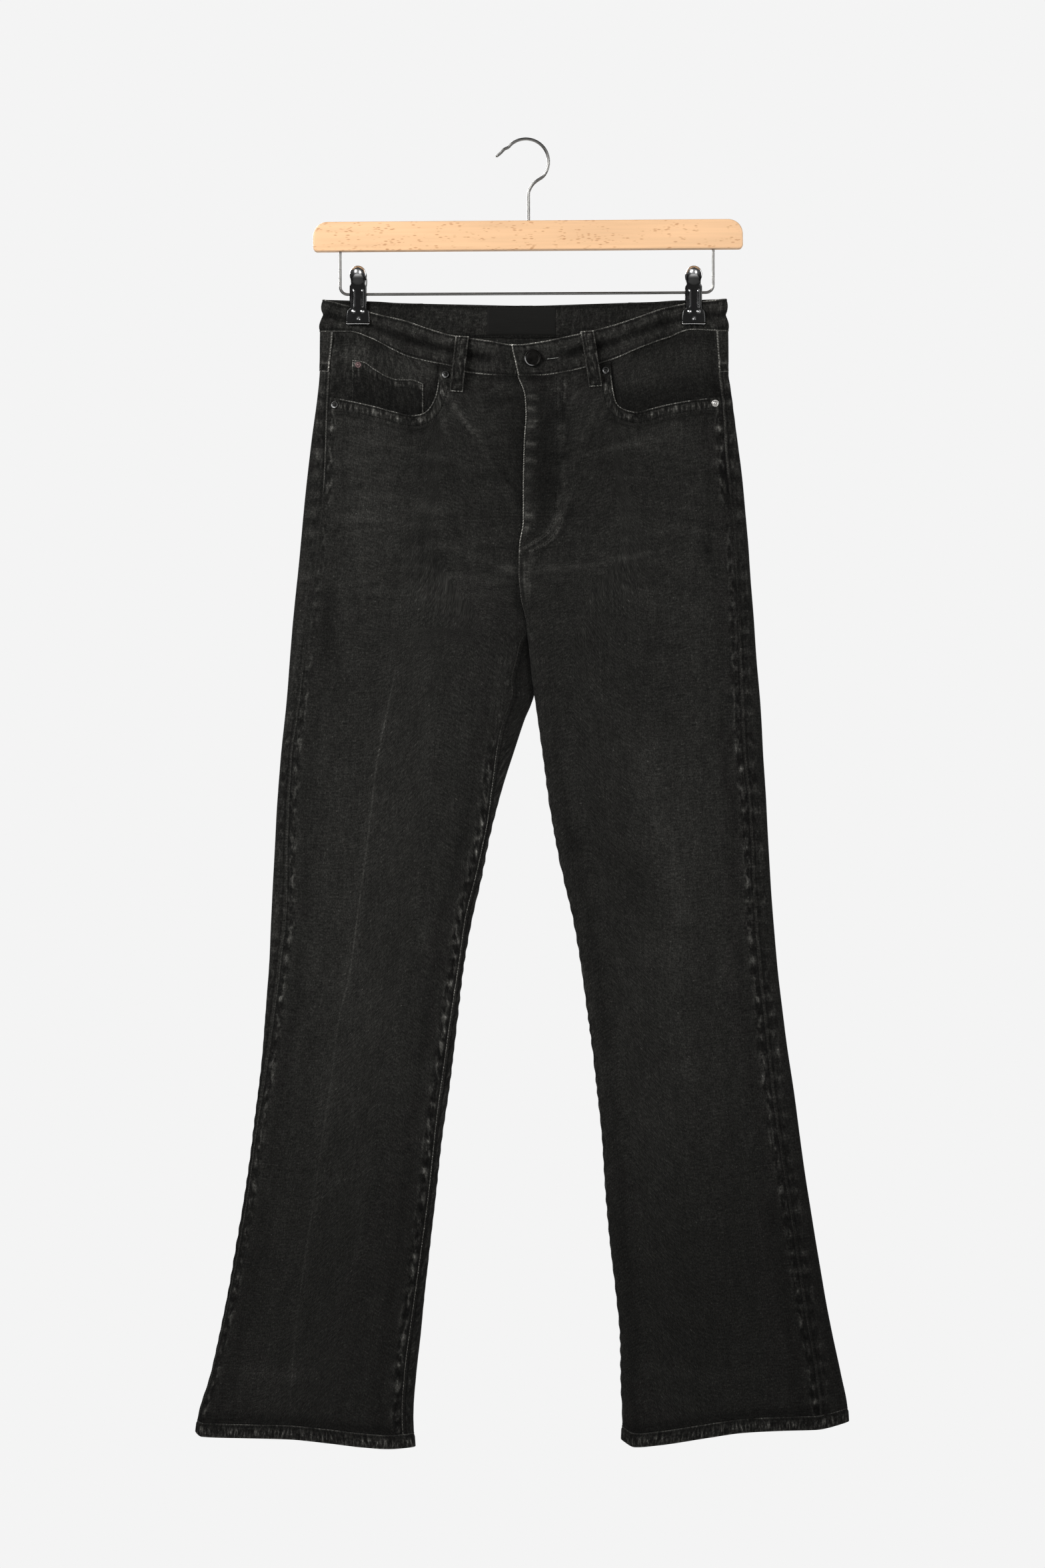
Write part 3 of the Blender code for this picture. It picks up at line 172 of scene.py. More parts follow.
HEMS = {
    "left": Table("x, bottom", (
        (-333, -1276), (-324, -1282), (-280, -1282.5), (-239, -1283.5), (-198, -1287.5), (-165, -1291.5),
        (-137, -1293.5), (-113, -1292.5),
    )),
    "right": Table("x, bottom", (
        (91, -1285.5), (104, -1292), (129, -1289.5), (177, -1282), (213, -1277), (255, -1275),
        (282, -1274.5), (317, -1267.5),
    )),
}
BACK_HEM_LIFT = 2.5
TUCK = 1.2
CUFF_HEIGHT = -1270.0
COIN_TOP = Table("x, top", (
    (-177, -217.8), (-165, -219.8), (-155, -226.5), (-140, -235), (-130, -237.6), (-118, -237.6),
    (-105, -242),
))
COIN_DEPTH = 1.8
FLY_LIFT, FLY_WIDTH, FLY_TOP, FLY_BOTTOM, FLY_FADE = 1.2, 38.0, -235.0, -408.0, 20.0
# Large folds of the fronts: x and height at both ends, half width and depth.
FRONT_FOLDS = ((-66, -240, -18, -345, 15, 3), (-84, -252, -30, -345, 8, -1.2),
               (-197, -425, -199, -520, 10, 1.8), (120, -300, 60, -330, 16, 0.9))
FOLD_OVERRUN = 0.15
FOLD_FADE = 0.4


def flat_ring(outer, inner, angle, front, back, inset):
    """A flattened ring with its folds at x = outer (angle 0) and x = inner (angle pi).

    x = outer + (inner - outer)(1 - cos a) / 2
    y = depth sin a sqrt(1 + cos^2 a), with the back's depth up to pi and the front's past it.
    """
    toward = np.sign(inner - outer)
    outer = outer + toward * inset
    inner = inner - toward * inset
    x = outer + (inner - outer) * (1 - np.cos(angle)) / 2
    depth = np.where(np.sin(angle) > 0, back, front) - inset
    return x, depth * np.sin(angle) * np.sqrt(1 + np.cos(angle) ** 2)


def turn(distance, width):
    """The angle at which a flattened ring of this width lies this far in from its fold."""
    share = np.clip(np.abs(distance) / width, 0.0, 1.0)
    return np.sign(distance) * np.arccos(1 - 2 * share)


def near_clip(x):
    """1 under a clip, easing to 0 at its sides."""
    return sum(1 - ease((np.abs(x - place) - PINCH_FLAT) / PINCH_FADE) for place in CLIP_X.values())


def hip_ring(side, angle, height, inset):
    """The ring round both halves, pressed together by the clips, with angle 0 at this side's fold."""
    front, back = DEPTHS("hip front", height), DEPTHS("hip back", height)
    outer, other = OUTLINE(side, height), OUTLINE(OTHER[side], height)
    x, y = flat_ring(outer, other, angle, front, back, inset)
    near = near_clip(x) * (1 - ease((CLIP_BOTTOM - 1 - height) / PINCH_DROP))
    excess = np.maximum(np.abs(y) - (PINCH_HALF - inset), 0.0)
    return x, np.sign(y) * (np.abs(y) - near * excess)


def inner_edge(side, height):
    """The leg's inner edge, which is the fly line above the crotch."""
    return np.where(height > CROTCH, FLY_LINE("x", height), INNER(side, height))


def leg_ring(side, angle, height, inset):
    """One leg's ring, with angle 0 at its outer fold and pi at its inner fold."""
    front, back = DEPTHS("leg front", height), DEPTHS("leg back", height)
    outer, inner = OUTLINE(side, height), inner_edge(side, height)
    x, y = flat_ring(outer, inner, angle, front, back, inset)
    share = np.clip((x - outer) / (inner - outer), 0.0, 1.0)
    return x, y + FOLD_DEPTH(side, height) * share**3


def beside(x, z, x0, z0, x1, z1):
    """How far along a line each place lies, as a share of it, and how far to its side."""
    across, down, length = x1 - x0, z1 - z0, math.hypot(x1 - x0, z1 - z0)
    along = ((x - x0) * across + (z - z0) * down) / length**2
    return along, ((x - x0) * down - (z - z0) * across) / length


def fold_depth(x, height):
    """How far the front sinks along its largest folds: depth times a bell across each line."""
    sunk = np.zeros(np.broadcast(x, height).shape)
    for *line, width, depth in FRONT_FOLDS:
        along, off = beside(x, height, *line)
        ends = ease((along + FOLD_OVERRUN) / FOLD_FADE) * ease((1 + FOLD_OVERRUN - along) / FOLD_FADE)
        sunk = sunk + depth * ends * bell(off, width)
    return sunk


def fly_lift(side, x, height):
    """The right front stands a cloth's thickness proud where the fly is stitched behind it."""
    if side == "left":
        return 0.0
    across = (x - FLY_LINE("x", height)) / FLY_WIDTH
    return FLY_LIFT * (1 - ease(across)) * ease((height - FLY_BOTTOM) / FLY_FADE)


def panel(side, face, across, height, inset=0.0):
    """Points of a front or a back: across is 0 at the side seam and 1 at the centre or the inseam.

    The hip's ring turns into the leg's ring over HIP_BLEND above the crotch.
    """
    front = face == "front"
    across, height = np.broadcast_arrays(np.asarray(across, float), np.asarray(height, float))
    outer, other = OUTLINE(side, height), OUTLINE(OTHER[side], height)
    hip_width = np.abs(other - outer)
    leg_width = np.abs(inner_edge(side, height) - outer)
    side_seam = SEAMS(side + " side", height)
    centre = turn(np.abs((FLY_LINE("even", height) if front else BACK_RISE_X) - outer), hip_width)
    full = 2 * np.pi if front else 0
    hip_start, hip_end = full - turn(side_seam, hip_width), full + (-centre if front else centre)
    leg_start = full - turn(side_seam, leg_width)
    leg_end = np.pi + turn(SEAMS(side + " inseam", height), leg_width)
    hip_x, hip_y = hip_ring(side, hip_start + (hip_end - hip_start) * across, height, inset)
    leg_x, leg_y = leg_ring(side, leg_start + (leg_end - leg_start) * across, height, inset)
    leg_share = ease((CROTCH + HIP_BLEND - height) / HIP_BLEND)
    x = hip_x + (leg_x - hip_x) * leg_share
    y = hip_y + (leg_y - hip_y) * leg_share
    if front:
        off_line = FLY_LINE("x", height) - FLY_LINE("even", height)
        off_line = np.where(height > CROTCH, off_line, 0.0) * (1 - leg_share)
        x = x + off_line * ease((across - 1 + FLY_REACH) / FLY_REACH)
        y = y + fold_depth(x, height) - fly_lift(side, x, height)
    return placed(x, y, height)


def across_at(side, face, x, height):
    """Where a panel crosses each x at its height, read off a fine row of its points."""
    x, height = np.broadcast_arrays(np.asarray(x, float), np.asarray(height, float))
    places = np.linspace(0, 1, 301)
    inward = INWARD[side] * panel(side, face, places, height.reshape(-1, 1))[..., 0]
    target = INWARD[side] * x.reshape(-1, 1)
    number = np.arange(places.size)
    first = inward.argmin(axis=1)[:, None]
    past = (inward >= target) & (number > first)
    after = np.where(past.any(axis=1), past.argmax(axis=1), inward.argmax(axis=1))
    after = np.clip(after, 1, None)
    row = np.arange(len(after))
    low, high = inward[row, after - 1], inward[row, after]
    share = np.clip((target[:, 0] - low) / np.maximum(high - low, 1e-9), 0, 1)
    return (places[after - 1] + (places[after] - places[after - 1]) * share).reshape(x.shape)


def on_panel(side, face, x, height, inset=0.0):
    """Points of a panel found from x and height."""
    return panel(side, face, across_at(side, face, x, height), height, inset)


def placed(x, y, z):
    """Points from their three coordinates."""
    return np.stack(np.broadcast_arrays(x, y, z), axis=-1)


def band_points(angle, share, inset):
    """Points of the waistband from the hip's ring, from its seam at share 0 to its top at 1."""
    angle, share = np.broadcast_arrays(angle, share)
    height = np.full(angle.shape, -195.0)
    front = np.sin(angle) < 0
    for _ in range(6):
        x, y = hip_ring("left", angle, height, inset)
        top, seam = (np.where(front, FRONT_BAND(row, x), BACK_BAND(row, x)) for row in ("top", "seam"))
        height = seam + 0.15 + (top - seam - 0.15) * share
    return placed(x, y, height)


def front_angle(x, height):
    """Angle on the hip's ring where its front crosses x."""
    outer, other = OUTLINE("left", height), OUTLINE("right", height)
    return 2 * np.pi - turn(x - outer, other - outer)


def hip_point(face, x, height, inset):
    """A point on the hip's ring found from x and height."""
    angle = front_angle(x, height)
    return hip_ring("left", angle if face == "front" else 2 * np.pi - angle, height, inset)


def mottle(u, v, size, seed):
    """Smooth random patches from -1 to 1: values on a lattice of this size, eased between points."""
    table = np.random.default_rng(seed).uniform(-1, 1, (64, 64))
    size_u, size_v = size if isinstance(size, tuple) else (size, size)
    a, b = np.asarray(u, float) / size_u + 31.3, np.asarray(v, float) / size_v + 17.7
    i, j = np.floor(a).astype(int), np.floor(b).astype(int)
    s, t = ease(a - i), ease(b - j)
    low = table[i % 64, j % 64] * (1 - s) + table[(i + 1) % 64, j % 64] * s
    high = table[i % 64, (j + 1) % 64] * (1 - s) + table[(i + 1) % 64, (j + 1) % 64] * s
    return low * (1 - t) + high * t


def uneven(along, size, seed):
    """Smooth random values from -1 to 1 along one distance."""
    return mottle(along, 0 * along, size, seed)


def crest(wave, power=1):
    """A wave's crests alone, raised to a power."""
    return np.maximum(wave, 0) ** power


def ripples(along, pitch, seed):
    """Uneven puckers from -1 to 1: a sine whose phase and height wander with the distance."""
    phase = 2 * np.pi * along / pitch + 2.4 * uneven(along, pitch * 2.1, seed)
    return np.sin(phase) * (0.62 + 0.38 * uneven(along, pitch * 1.7, seed + 1))


def gathered(count, gather):
    """0 to 1 in even steps drawn toward both ends: s - gather sin(2 pi s) / (2 pi)."""
    s = np.linspace(0, 1, count + 1)
    return s - gather * np.sin(2 * np.pi * s) / (2 * np.pi)


def edge_steps(length, step):
    """0 to 1 down a length of cloth: close rows at its upper and lower edges, even ones between."""
    close = np.array([0.0, 0.25, 0.6, 1.1, 1.7, 2.6, 4.0])
    middle = np.arange(close[-1] + step, length - close[-1] - step / 2, step)
    return np.concatenate([close, middle, (length - close)[::-1]]) / length


def lengths_along(points, axis):
    """Distance along the grid from its first row or column: summed steps."""
    steps = np.linalg.norm(np.diff(points, axis=axis), axis=-1)
    start = np.zeros_like(np.take(steps, [0], axis=axis))
    return np.concatenate([start, np.cumsum(steps, axis=axis)], axis=axis)


def unit(vectors):
    return vectors / np.maximum(np.linalg.norm(vectors, axis=-1, keepdims=True), 1e-9)


def grid_quads(rows, columns, ring=False):
    """Corner numbers of a grid's quads. A ring joins its last column to its first."""
    spans = columns if ring else columns - 1
    row, column = np.meshgrid(np.arange(rows - 1), np.arange(spans), indexing="ij")
    a = row * columns + column
    b = row * columns + (column + 1) % columns
    return np.stack([a, b, b + columns, a + columns], axis=-1).reshape(-1, 4)


def strip_quads(first, second):
    """Quads between two lines of corner numbers."""
    return np.stack([first[:-1], first[1:], second[1:], second[:-1]], axis=-1)


def shell_quads(rows, columns, ring=False):
    """Quads of a closed shell: an outer grid, an inner grid facing back, and the strips at the rims."""
    count = rows * columns
    sheet = grid_quads(rows, columns, ring)
    number = np.arange(count).reshape(rows, columns)
    if ring:
        number = np.concatenate([number, number[:, :1]], axis=1)
    rims = [strip_quads(number[0][::-1], number[0][::-1] + count),
            strip_quads(number[-1], number[-1] + count)]
    if not ring:
        rims += [strip_quads(number[:, 0], number[:, 0] + count),
                 strip_quads(number[::-1, -1], number[::-1, -1] + count)]
    return np.concatenate([sheet, sheet[:, ::-1] + count, *rims])


def turned_outward(points, faces):
    """The faces, reversed if they enclose a negative volume."""
    quads = np.array([face for face in faces if len(face) == 4])
    a, b, c, d = (points[quads[:, k]] for k in range(4))
    volume = (a * np.cross(b, c)).sum() + (a * np.cross(c, d)).sum()
    return [face[::-1] for face in faces] if volume < 0 else faces


def make_piece(name, points, faces, finish, nodes=(), slot="denim", fields=None, uv=None, sharp=60.0):
    """A mesh piece from points in millimetres, riding on the one body in place of its solids."""
    points = np.asarray(points, float).reshape(-1, 3)
    faces = turned_outward(points, faces.tolist() if isinstance(faces, np.ndarray) else faces)
    mesh = bpy.data.meshes.new(name)
    mesh.from_pydata((points * METRE).tolist(), [], faces)
    for field, values in (fields or {}).items():
        attribute = mesh.attributes.new(field, "FLOAT", "POINT")
        attribute.data.foreach_set("value", np.asarray(values, np.float32).ravel())
    if uv is not None:
        layer = mesh.uv_layers.new(name="cloth")
        corner = np.empty(len(mesh.loops), np.int32)
        mesh.loops.foreach_get("vertex_index", corner)
        layer.data.foreach_set("uv", np.asarray(uv, np.float32)[corner].ravel())
    mesh.shade_smooth()
    if sharp:
        mesh.set_sharp_from_angle(angle=math.radians(sharp))
    mesh.materials.append(finish)
    mesh.validate()
    obj = bpy.data.objects.new(name, mesh)
    bpy.context.scene.collection.objects.link(obj)
    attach(obj, "root")
    if nodes:
        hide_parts(*nodes)
    return obj


def rounded(distance, radius):
    """How far a rounded edge lies back from its face this near to the edge: a quarter circle."""
    near = np.clip(1 - distance / radius, 0.0, 1.0)
    return radius * (1 - np.sqrt(1 - near**2))


def capped(rows, columns):
    """Faces of a tube of rings, with its first and last ring closed."""
    last = (rows - 1) * columns
    return [*grid_quads(rows, columns, ring=True).tolist(), list(range(columns))[::-1],
            list(range(last, last + columns))]


class Cloth:
    """A grid of cloth: its outer and inner points, its distances to its edges, and its finish.

    relief moves both walls outward, shade is the finish in stops lighter or darker, partly wear and
    tone and partly painted shade beside seams, in folds and in recesses, edge is the distance to a
    worn edge and worn says how worn that edge is. scuff and rungs say how strongly the wash scraped
    the cloth and left strokes on it. The edges are called top, low, start and end.
    """

    def __init__(self, outer, inner, ring=False):
        self.outer, self.inner, self.ring = outer, inner, ring
        self.out = unit(outer - inner)
        self.x, self.z = outer[..., 0], outer[..., 2]
        self.from_start = lengths_along(outer, 1)
        self.from_end = self.from_start[:, -1:] - self.from_start
        self.from_top = lengths_along(outer, 0)
        self.from_low = self.from_top[-1:] - self.from_top
        self.relief, self.shade, self.worn, self.rungs = (np.zeros(self.x.shape) for _ in range(4))
        self.edge, self.scuff = np.full(self.x.shape, 9.0), np.full(self.x.shape, 0.25)
        self.inner_shade = None
        self.creases = [(self.edge, self.worn)] * 2

    def even_length(self):
        """Measures the cloth's length alike at every height, and gives that length."""
        length = self.from_start.mean(axis=0, keepdims=True) + 0 * self.x
        self.from_start, self.from_end = length, length[:, -1:] - length
        return length

    def bands(self, *rows):
        """Adds bells to fields: each row has the field, how much, the distance, its middle and width."""
        for field, amount, distance, middle, width in rows:
            if isinstance(distance, str):
                distance = getattr(self, "from_" + distance)
            getattr(self, field)[:] += amount * bell(distance - middle, width)

    def sink(self, depth, width, **rows):
        """Rows of stitching that lie sunk in the cloth at these distances from the named edges."""
        for edge, distances in rows.items():
            self.bands(*(("relief", -depth, edge, distance, width) for distance in distances))

    def wear(self, **strengths):
        """Marks worn lines at the named edges, where one is nearer than those before it."""
        for edge, strength in strengths.items():
            distance = getattr(self, "from_" + edge)
            nearer = distance <= self.edge
            self.worn = np.where(nearer, strength, self.worn)
            self.edge = np.where(nearer, distance, self.edge)

    def finish_grid(self, radius, edges):
        """Moves both walls by the relief and rounds the edges that are named."""
        distance = np.min([getattr(self, "from_" + edge) for edge in edges.split()], axis=0)
        back = rounded(distance, radius)[..., None]
        self.outer = self.outer + self.out * (self.relief[..., None] - back)
        self.inner = self.inner + self.out * (self.relief[..., None] + back)

    def line(self, edge, value):
        """Points of the outer wall at this distance from an edge, with their outward directions."""
        grids = [getattr(self, "from_" + edge), self.outer, self.out]
        if edge in ("top", "low"):
            grids = [np.swapaxes(grid, 0, 1) for grid in grids]
        if edge in ("end", "low"):
            grids = [grid[:, ::-1] for grid in grids]
        values, points, out = grids
        after = np.clip((values < value).sum(axis=1), 1, values.shape[1] - 1)
        row = np.arange(len(values))
        low, high = values[row, after - 1], values[row, after]
        share = np.clip((value - low) / np.maximum(high - low, 1e-9), 0, 1)[:, None]
        at = points[row, after - 1] + (points[row, after] - points[row, after - 1]) * share
        return at, out[row, after]

    def lines(self, **rows):
        """Such lines at several distances from the named edges."""
        return [self.line(edge, value) for edge, values in rows.items() for value in values]

    def make(self, name, nodes, finish, slot="denim"):
        """The shell as a piece. Its inner wall has no worn edges, rungs or creases."""
        none = 0 * self.x
        inner_shade = self.shade if self.inner_shade is None else self.inner_shade
        fields = {"shade": (self.shade, inner_shade), "edge": (self.edge, self.edge),
                  "worn": (self.worn, none), "scuff": (self.scuff, self.scuff),
                  "rungs": (self.rungs, none), "u": (self.from_start, self.from_start),
                  "v": (-self.from_top, -self.from_top)}
        for number, (off, strength) in enumerate(self.creases):
            fields |= {f"crease_{number}": (off, off), f"creased_{number}": (strength, none)}
        fields = {field: np.concatenate(walls).ravel() for field, walls in fields.items()}
        uv = np.stack([fields.pop("u"), fields.pop("v")], axis=-1) * METRE
        points = np.concatenate([self.outer.reshape(-1, 3), self.inner.reshape(-1, 3)])
        return make_piece(name, points, shell_quads(*self.x.shape, self.ring), finish, nodes, slot,
                          fields, uv)


# Creases: half width, how proud it stands, how worn it is, where a value below zero is painted shade
# in a sunk crease's hollow, how its ends fade, then the height and x of points on it.
CREASES = {
    ("left", "front"): (
        (1.5, 0.5, 1.3, 60, (-517, -130), (-570, -141.2), (-613, -149.8), (-702, -160.4), (-752, -167.6),
         (-824, -177.5), (-870, -188.1), (-923, -194.7), (-1055, -213.8), (-1183, -231), (-1268, -237)),
        (2, 0.35, 0.45, 60, (-978, -233), (-1106, -243.5), (-1212, -258), (-1262, -261)),
        (9, -0.7, -0.1, 90, (-600, -100), (-800, -128), (-1000, -160)),
    ),
    ("right", "front"): (
        (2.2, 0.35, 0.5, 70, (-962, 207.9), (-1115, 234.3), (-1211, 257)),
        (3, 0.3, 0.3, 60, (-884, 90), (-1089, 113.6)),
        (10, 0.6, 0.12, 90, (-560, 120), (-760, 140), (-960, 165)),
    ),
    ("left", "back"): (
        (3, 0.5, 0.4, 80, (-560, -135), (-760, -160), (-1000, -195), (-1230, -228)),
        (9, -0.9, -0.1, 60, (-520, -90), (-700, -120)),
    ),
    ("right", "back"): (
        (3, 0.5, 0.4, 80, (-540, 128), (-760, 150), (-1000, 185), (-1230, 215)),
        (9, -0.9, -0.1, 60, (-530, 85), (-690, 110)),
    ),
}
# Soft folds across: height at the start and end, x at the start and end, half width, rise, worn, where a
# value below zero is painted shade in a sunk fold.
ACROSS_FOLDS = {
    ("left", "front"): (
        (-352, -372, -205, -70, 5, 0.35, 0.22), (-378, -392, -200, -90, 6, 0.3, 0.16),
        (-470, -440, -150, -30, 7, 0.4, 0.12), (-500, -470, -140, -20, 5, 0.3, 0.1),
    ),
    ("right", "front"): (
        (-511, -508, 172, 113, 1.6, -0.4, -0.2), (-395, -372, 190, 70, 6, 0.3, 0.14),
        (-446, -470, 40, 150, 7, 0.35, 0.1),
    ),
    ("left", "back"): (
        (-455, -495, -60, -200, 8, 0.9, 0.15), (-490, -530, -60, -190, 7, 0.7, 0.12),
        (-770, -760, -210, -90, 7, -0.8, 0.1), (-800, -815, -205, -95, 6, -0.7, 0.1),
        (-840, -835, -215, -110, 6, -0.5, 0.05),
    ),
    ("right", "back"): (
        (-450, -490, 50, 190, 8, 0.9, 0.15), (-492, -522, 55, 180, 7, 0.7, 0.12),
        (-762, -772, 200, 85, 7, -0.8, 0.1), (-806, -798, 205, 90, 6, -0.7, 0.1),
        (-836, -846, 205, 100, 6, -0.5, 0.05),
    ),
}
# Fine worn creases that fan out: x and height at the start and end, half width, how worn.
FANS = {
    "left": ((-86, -248, -52, -292, 1.6, 0.9), (-84, -246, -62, -276, 1.1, 0.7),
             (-88, -252, -80, -300, 2.2, 0.45), (-90, -256, -98, -296, 1.8, 0.4),
             (-60, -280, -30, -325, 3.2, 0.4), (-96, -262, -112, -284, 1.6, 0.4),
             (-74, -262, -44, -300, 1.4, 0.5), (-20, -244, -44, -252, 1.8, 0.5),
             (-12, -262, -38, -276, 2.4, 0.35), (-140, -300, -60, -322, 3, 0.25)),
    "right": ((84, -250, 66, -292, 1.8, 0.5), (80, -246, 92, -286, 1.6, 0.4),
              (64, -240, 40, -262, 2, 0.4), (100, -282, 122, -316, 2.6, 0.3),
              (30, -246, 12, -258, 2, 0.4), (150, -292, 60, -312, 3, 0.22)),
}
# Heights of the light bars that wear leaves across the fly.
FLY_BARS = (-255, -267, -280, -286, -301, -318, -333, -347, -363, -374, -384)
FLY_STITCH = Table("height, outer, inner", (
    (-233, 33, 27), (-300, 33, 27), (-361, 33, 27), (-377.5, 31.7, 24.5), (-390, 25.1, 17), (-400, 15.8, 2),
    (-406.6, 2.6, -9),
))
SIDE_SEED = {"left": 100, "right": 200}
# Soft lighter and darker marks on the fronts: stops lighter, half width, then the points of a line.
FRONT_MARKS = {
    "left": (
        (-0.5, 13, (-42, -252), (-20, -262), (-14, -320)), (0.35, 5, (-80, -262), (-47, -300), (-14, -368)),
        (0.35, 7, (-176, -311), (-165, -314)), (0.18, 26, (-165, -320), (-150, -380)),
        (0.28, 5, (-119, -366), (-84, -367)), (-0.45, 12, (-105, -380), (-106, -394)),
        (-0.48, 11, (-96, -419), (-88, -419)), (-0.2, 6, (-77, -372), (-77, -380)),
        (0.2, 9, (-170, -365), (-165, -436)), (-0.6, 9, (-197, -450), (-196, -508)),
        (1.1, 5.5, (-20, -425), (-14, -426)), (0.5, 2.8, (-20, -425), (-60, -410), (-100, -397)),
        (0.35, 2.8, (-14, -437), (-70, -432), (-120, -420)),
        (0.3, 2.8, (-20, -452), (-90, -450), (-160, -447)), (0.3, 2.8, (-60, -385), (-190, -372)),
        (0.24, 3, (-187, -277), (-140, -284), (-85, -300)), (0.18, 3, (-191, -292), (-92, -315)),
        (-0.45, 9, (-120, -285), (-98, -292)), (0.2, 28, (-195, -690), (-195, -840)),
        (-0.2, 14, (-110, -810), (-112, -900)), (-0.18, 18, (-190, -985), (-186, -1000)),
        (-0.16, 16, (-144, -1040), (-142, -1080)), (0.25, 2.6, (-96, -573), (-122, -703)),
        (0.25, 3, (-161, -997), (-172, -1110)), (0.35, 7, (-288, -1214), (-250, -1221), (-214, -1219)),
        (0.15, 20, (-270, -1225), (-260, -1235)),
    ),
    "right": (
        (-0.45, 10, (24, -256), (26, -340)), (-0.4, 11, (12, -318), (16, -352)),
        (0.45, 5, (82, -245), (66, -268), (52, -295)), (0.6, 5, (-5, -435), (1, -441)),
        (0.8, 4.5, (-3, -371), (1, -374)), (0.4, 3, (8, -400), (22, -394), (28, -382)),
        (0.55, 2.6, (5, -427), (60, -421), (135, -406)), (0.32, 2.8, (78, -400), (143, -385)),
        (0.24, 3, (44, -315), (135, -296)), (0.28, 3, (78, -308), (150, -282)),
        (-0.45, 6, (86, -276), (118, -280)), (-0.8, 8, (196, -314), (197, -355)),
        (-0.5, 6, (175, -378), (176, -412)), (0.24, 9, (104, -597), (128, -680), (152, -770)),
        (0.15, 30, (160, -640), (168, -790)), (0.15, 14, (149, -757), (150, -765)),
        (0.22, 14, (132, -804), (160, -805)), (-0.35, 19, (108, -728), (112, -746)),
        (-0.2, 14, (52, -690), (58, -720)), (0.3, 7, (118, -1212), (180, -1222), (220, -1218)),
        (0.15, 14, (130, -1240), (150, -1243)),
    ),
}
# Where the puckers of the outer seam begin again below the bartack, and that bartack's height.
PUCKERS_BELOW = {"left": -560.0, "right": -440.0}
SIDE_BARTACK = {"left": -351.0, "right": -337.0}
# The outer seam's puckers: their pitch, half width and wear.
OUTER_PUCKERS = {"left": (15, 4, 0.75), "right": (19, 5.5, 1.2)}


def side_wear(side, height):
    """How worn the outer seam's edge is: clear down to the bartack, barely to the thigh, faint below."""
    low, bartack = PUCKERS_BELOW[side], SIDE_BARTACK[side]
    return 0.12 + 0.38 * ease((low - height) / 60 + 1) + 0.83 * ease((height - bartack) / 12)


def lay_wear_and_shade(cloth, side, seed):
    """Large soft patches, partly wear and partly painted shade: the thighs paler, the calves and the inner
    legs darker, the right leg darker than the left.
    """
    x, z, left = cloth.x, cloth.z, side == "left"
    lower = ease((-900 - z) / 260)
    lively = 1 - 0.45 * lower
    across = ease((z + 520) / 80)
    cloth.shade += 0.32 * bell(z + 640, 330) * bell(x + 165 * INWARD[side], 95)
    cloth.shade -= 0.12 * bell(z + 330, 70) * bell(np.abs(x) - 60, 60) + (0.42 if left else 0.52) * lower
    # Painted shade in part: the right leg laid darker than the left.
    cloth.shade -= (0.04 if left else 0.16) + 0.1 * ease((-430 - z) / 60)
    cloth.shade += lively * (
        0.12 * mottle(x, z, (45, 80), seed + 1) + 0.1 * mottle(x, z, (12, 40), seed + 2) * (1 - across)
        + 0.24 * mottle(x, z + 0.12 * np.abs(x), (70, 4.5), seed + 6) * across
        + 0.15 * mottle(x, z, (5, 14), seed + 3))
    cloth.scuff[:] = 0.3 * lively


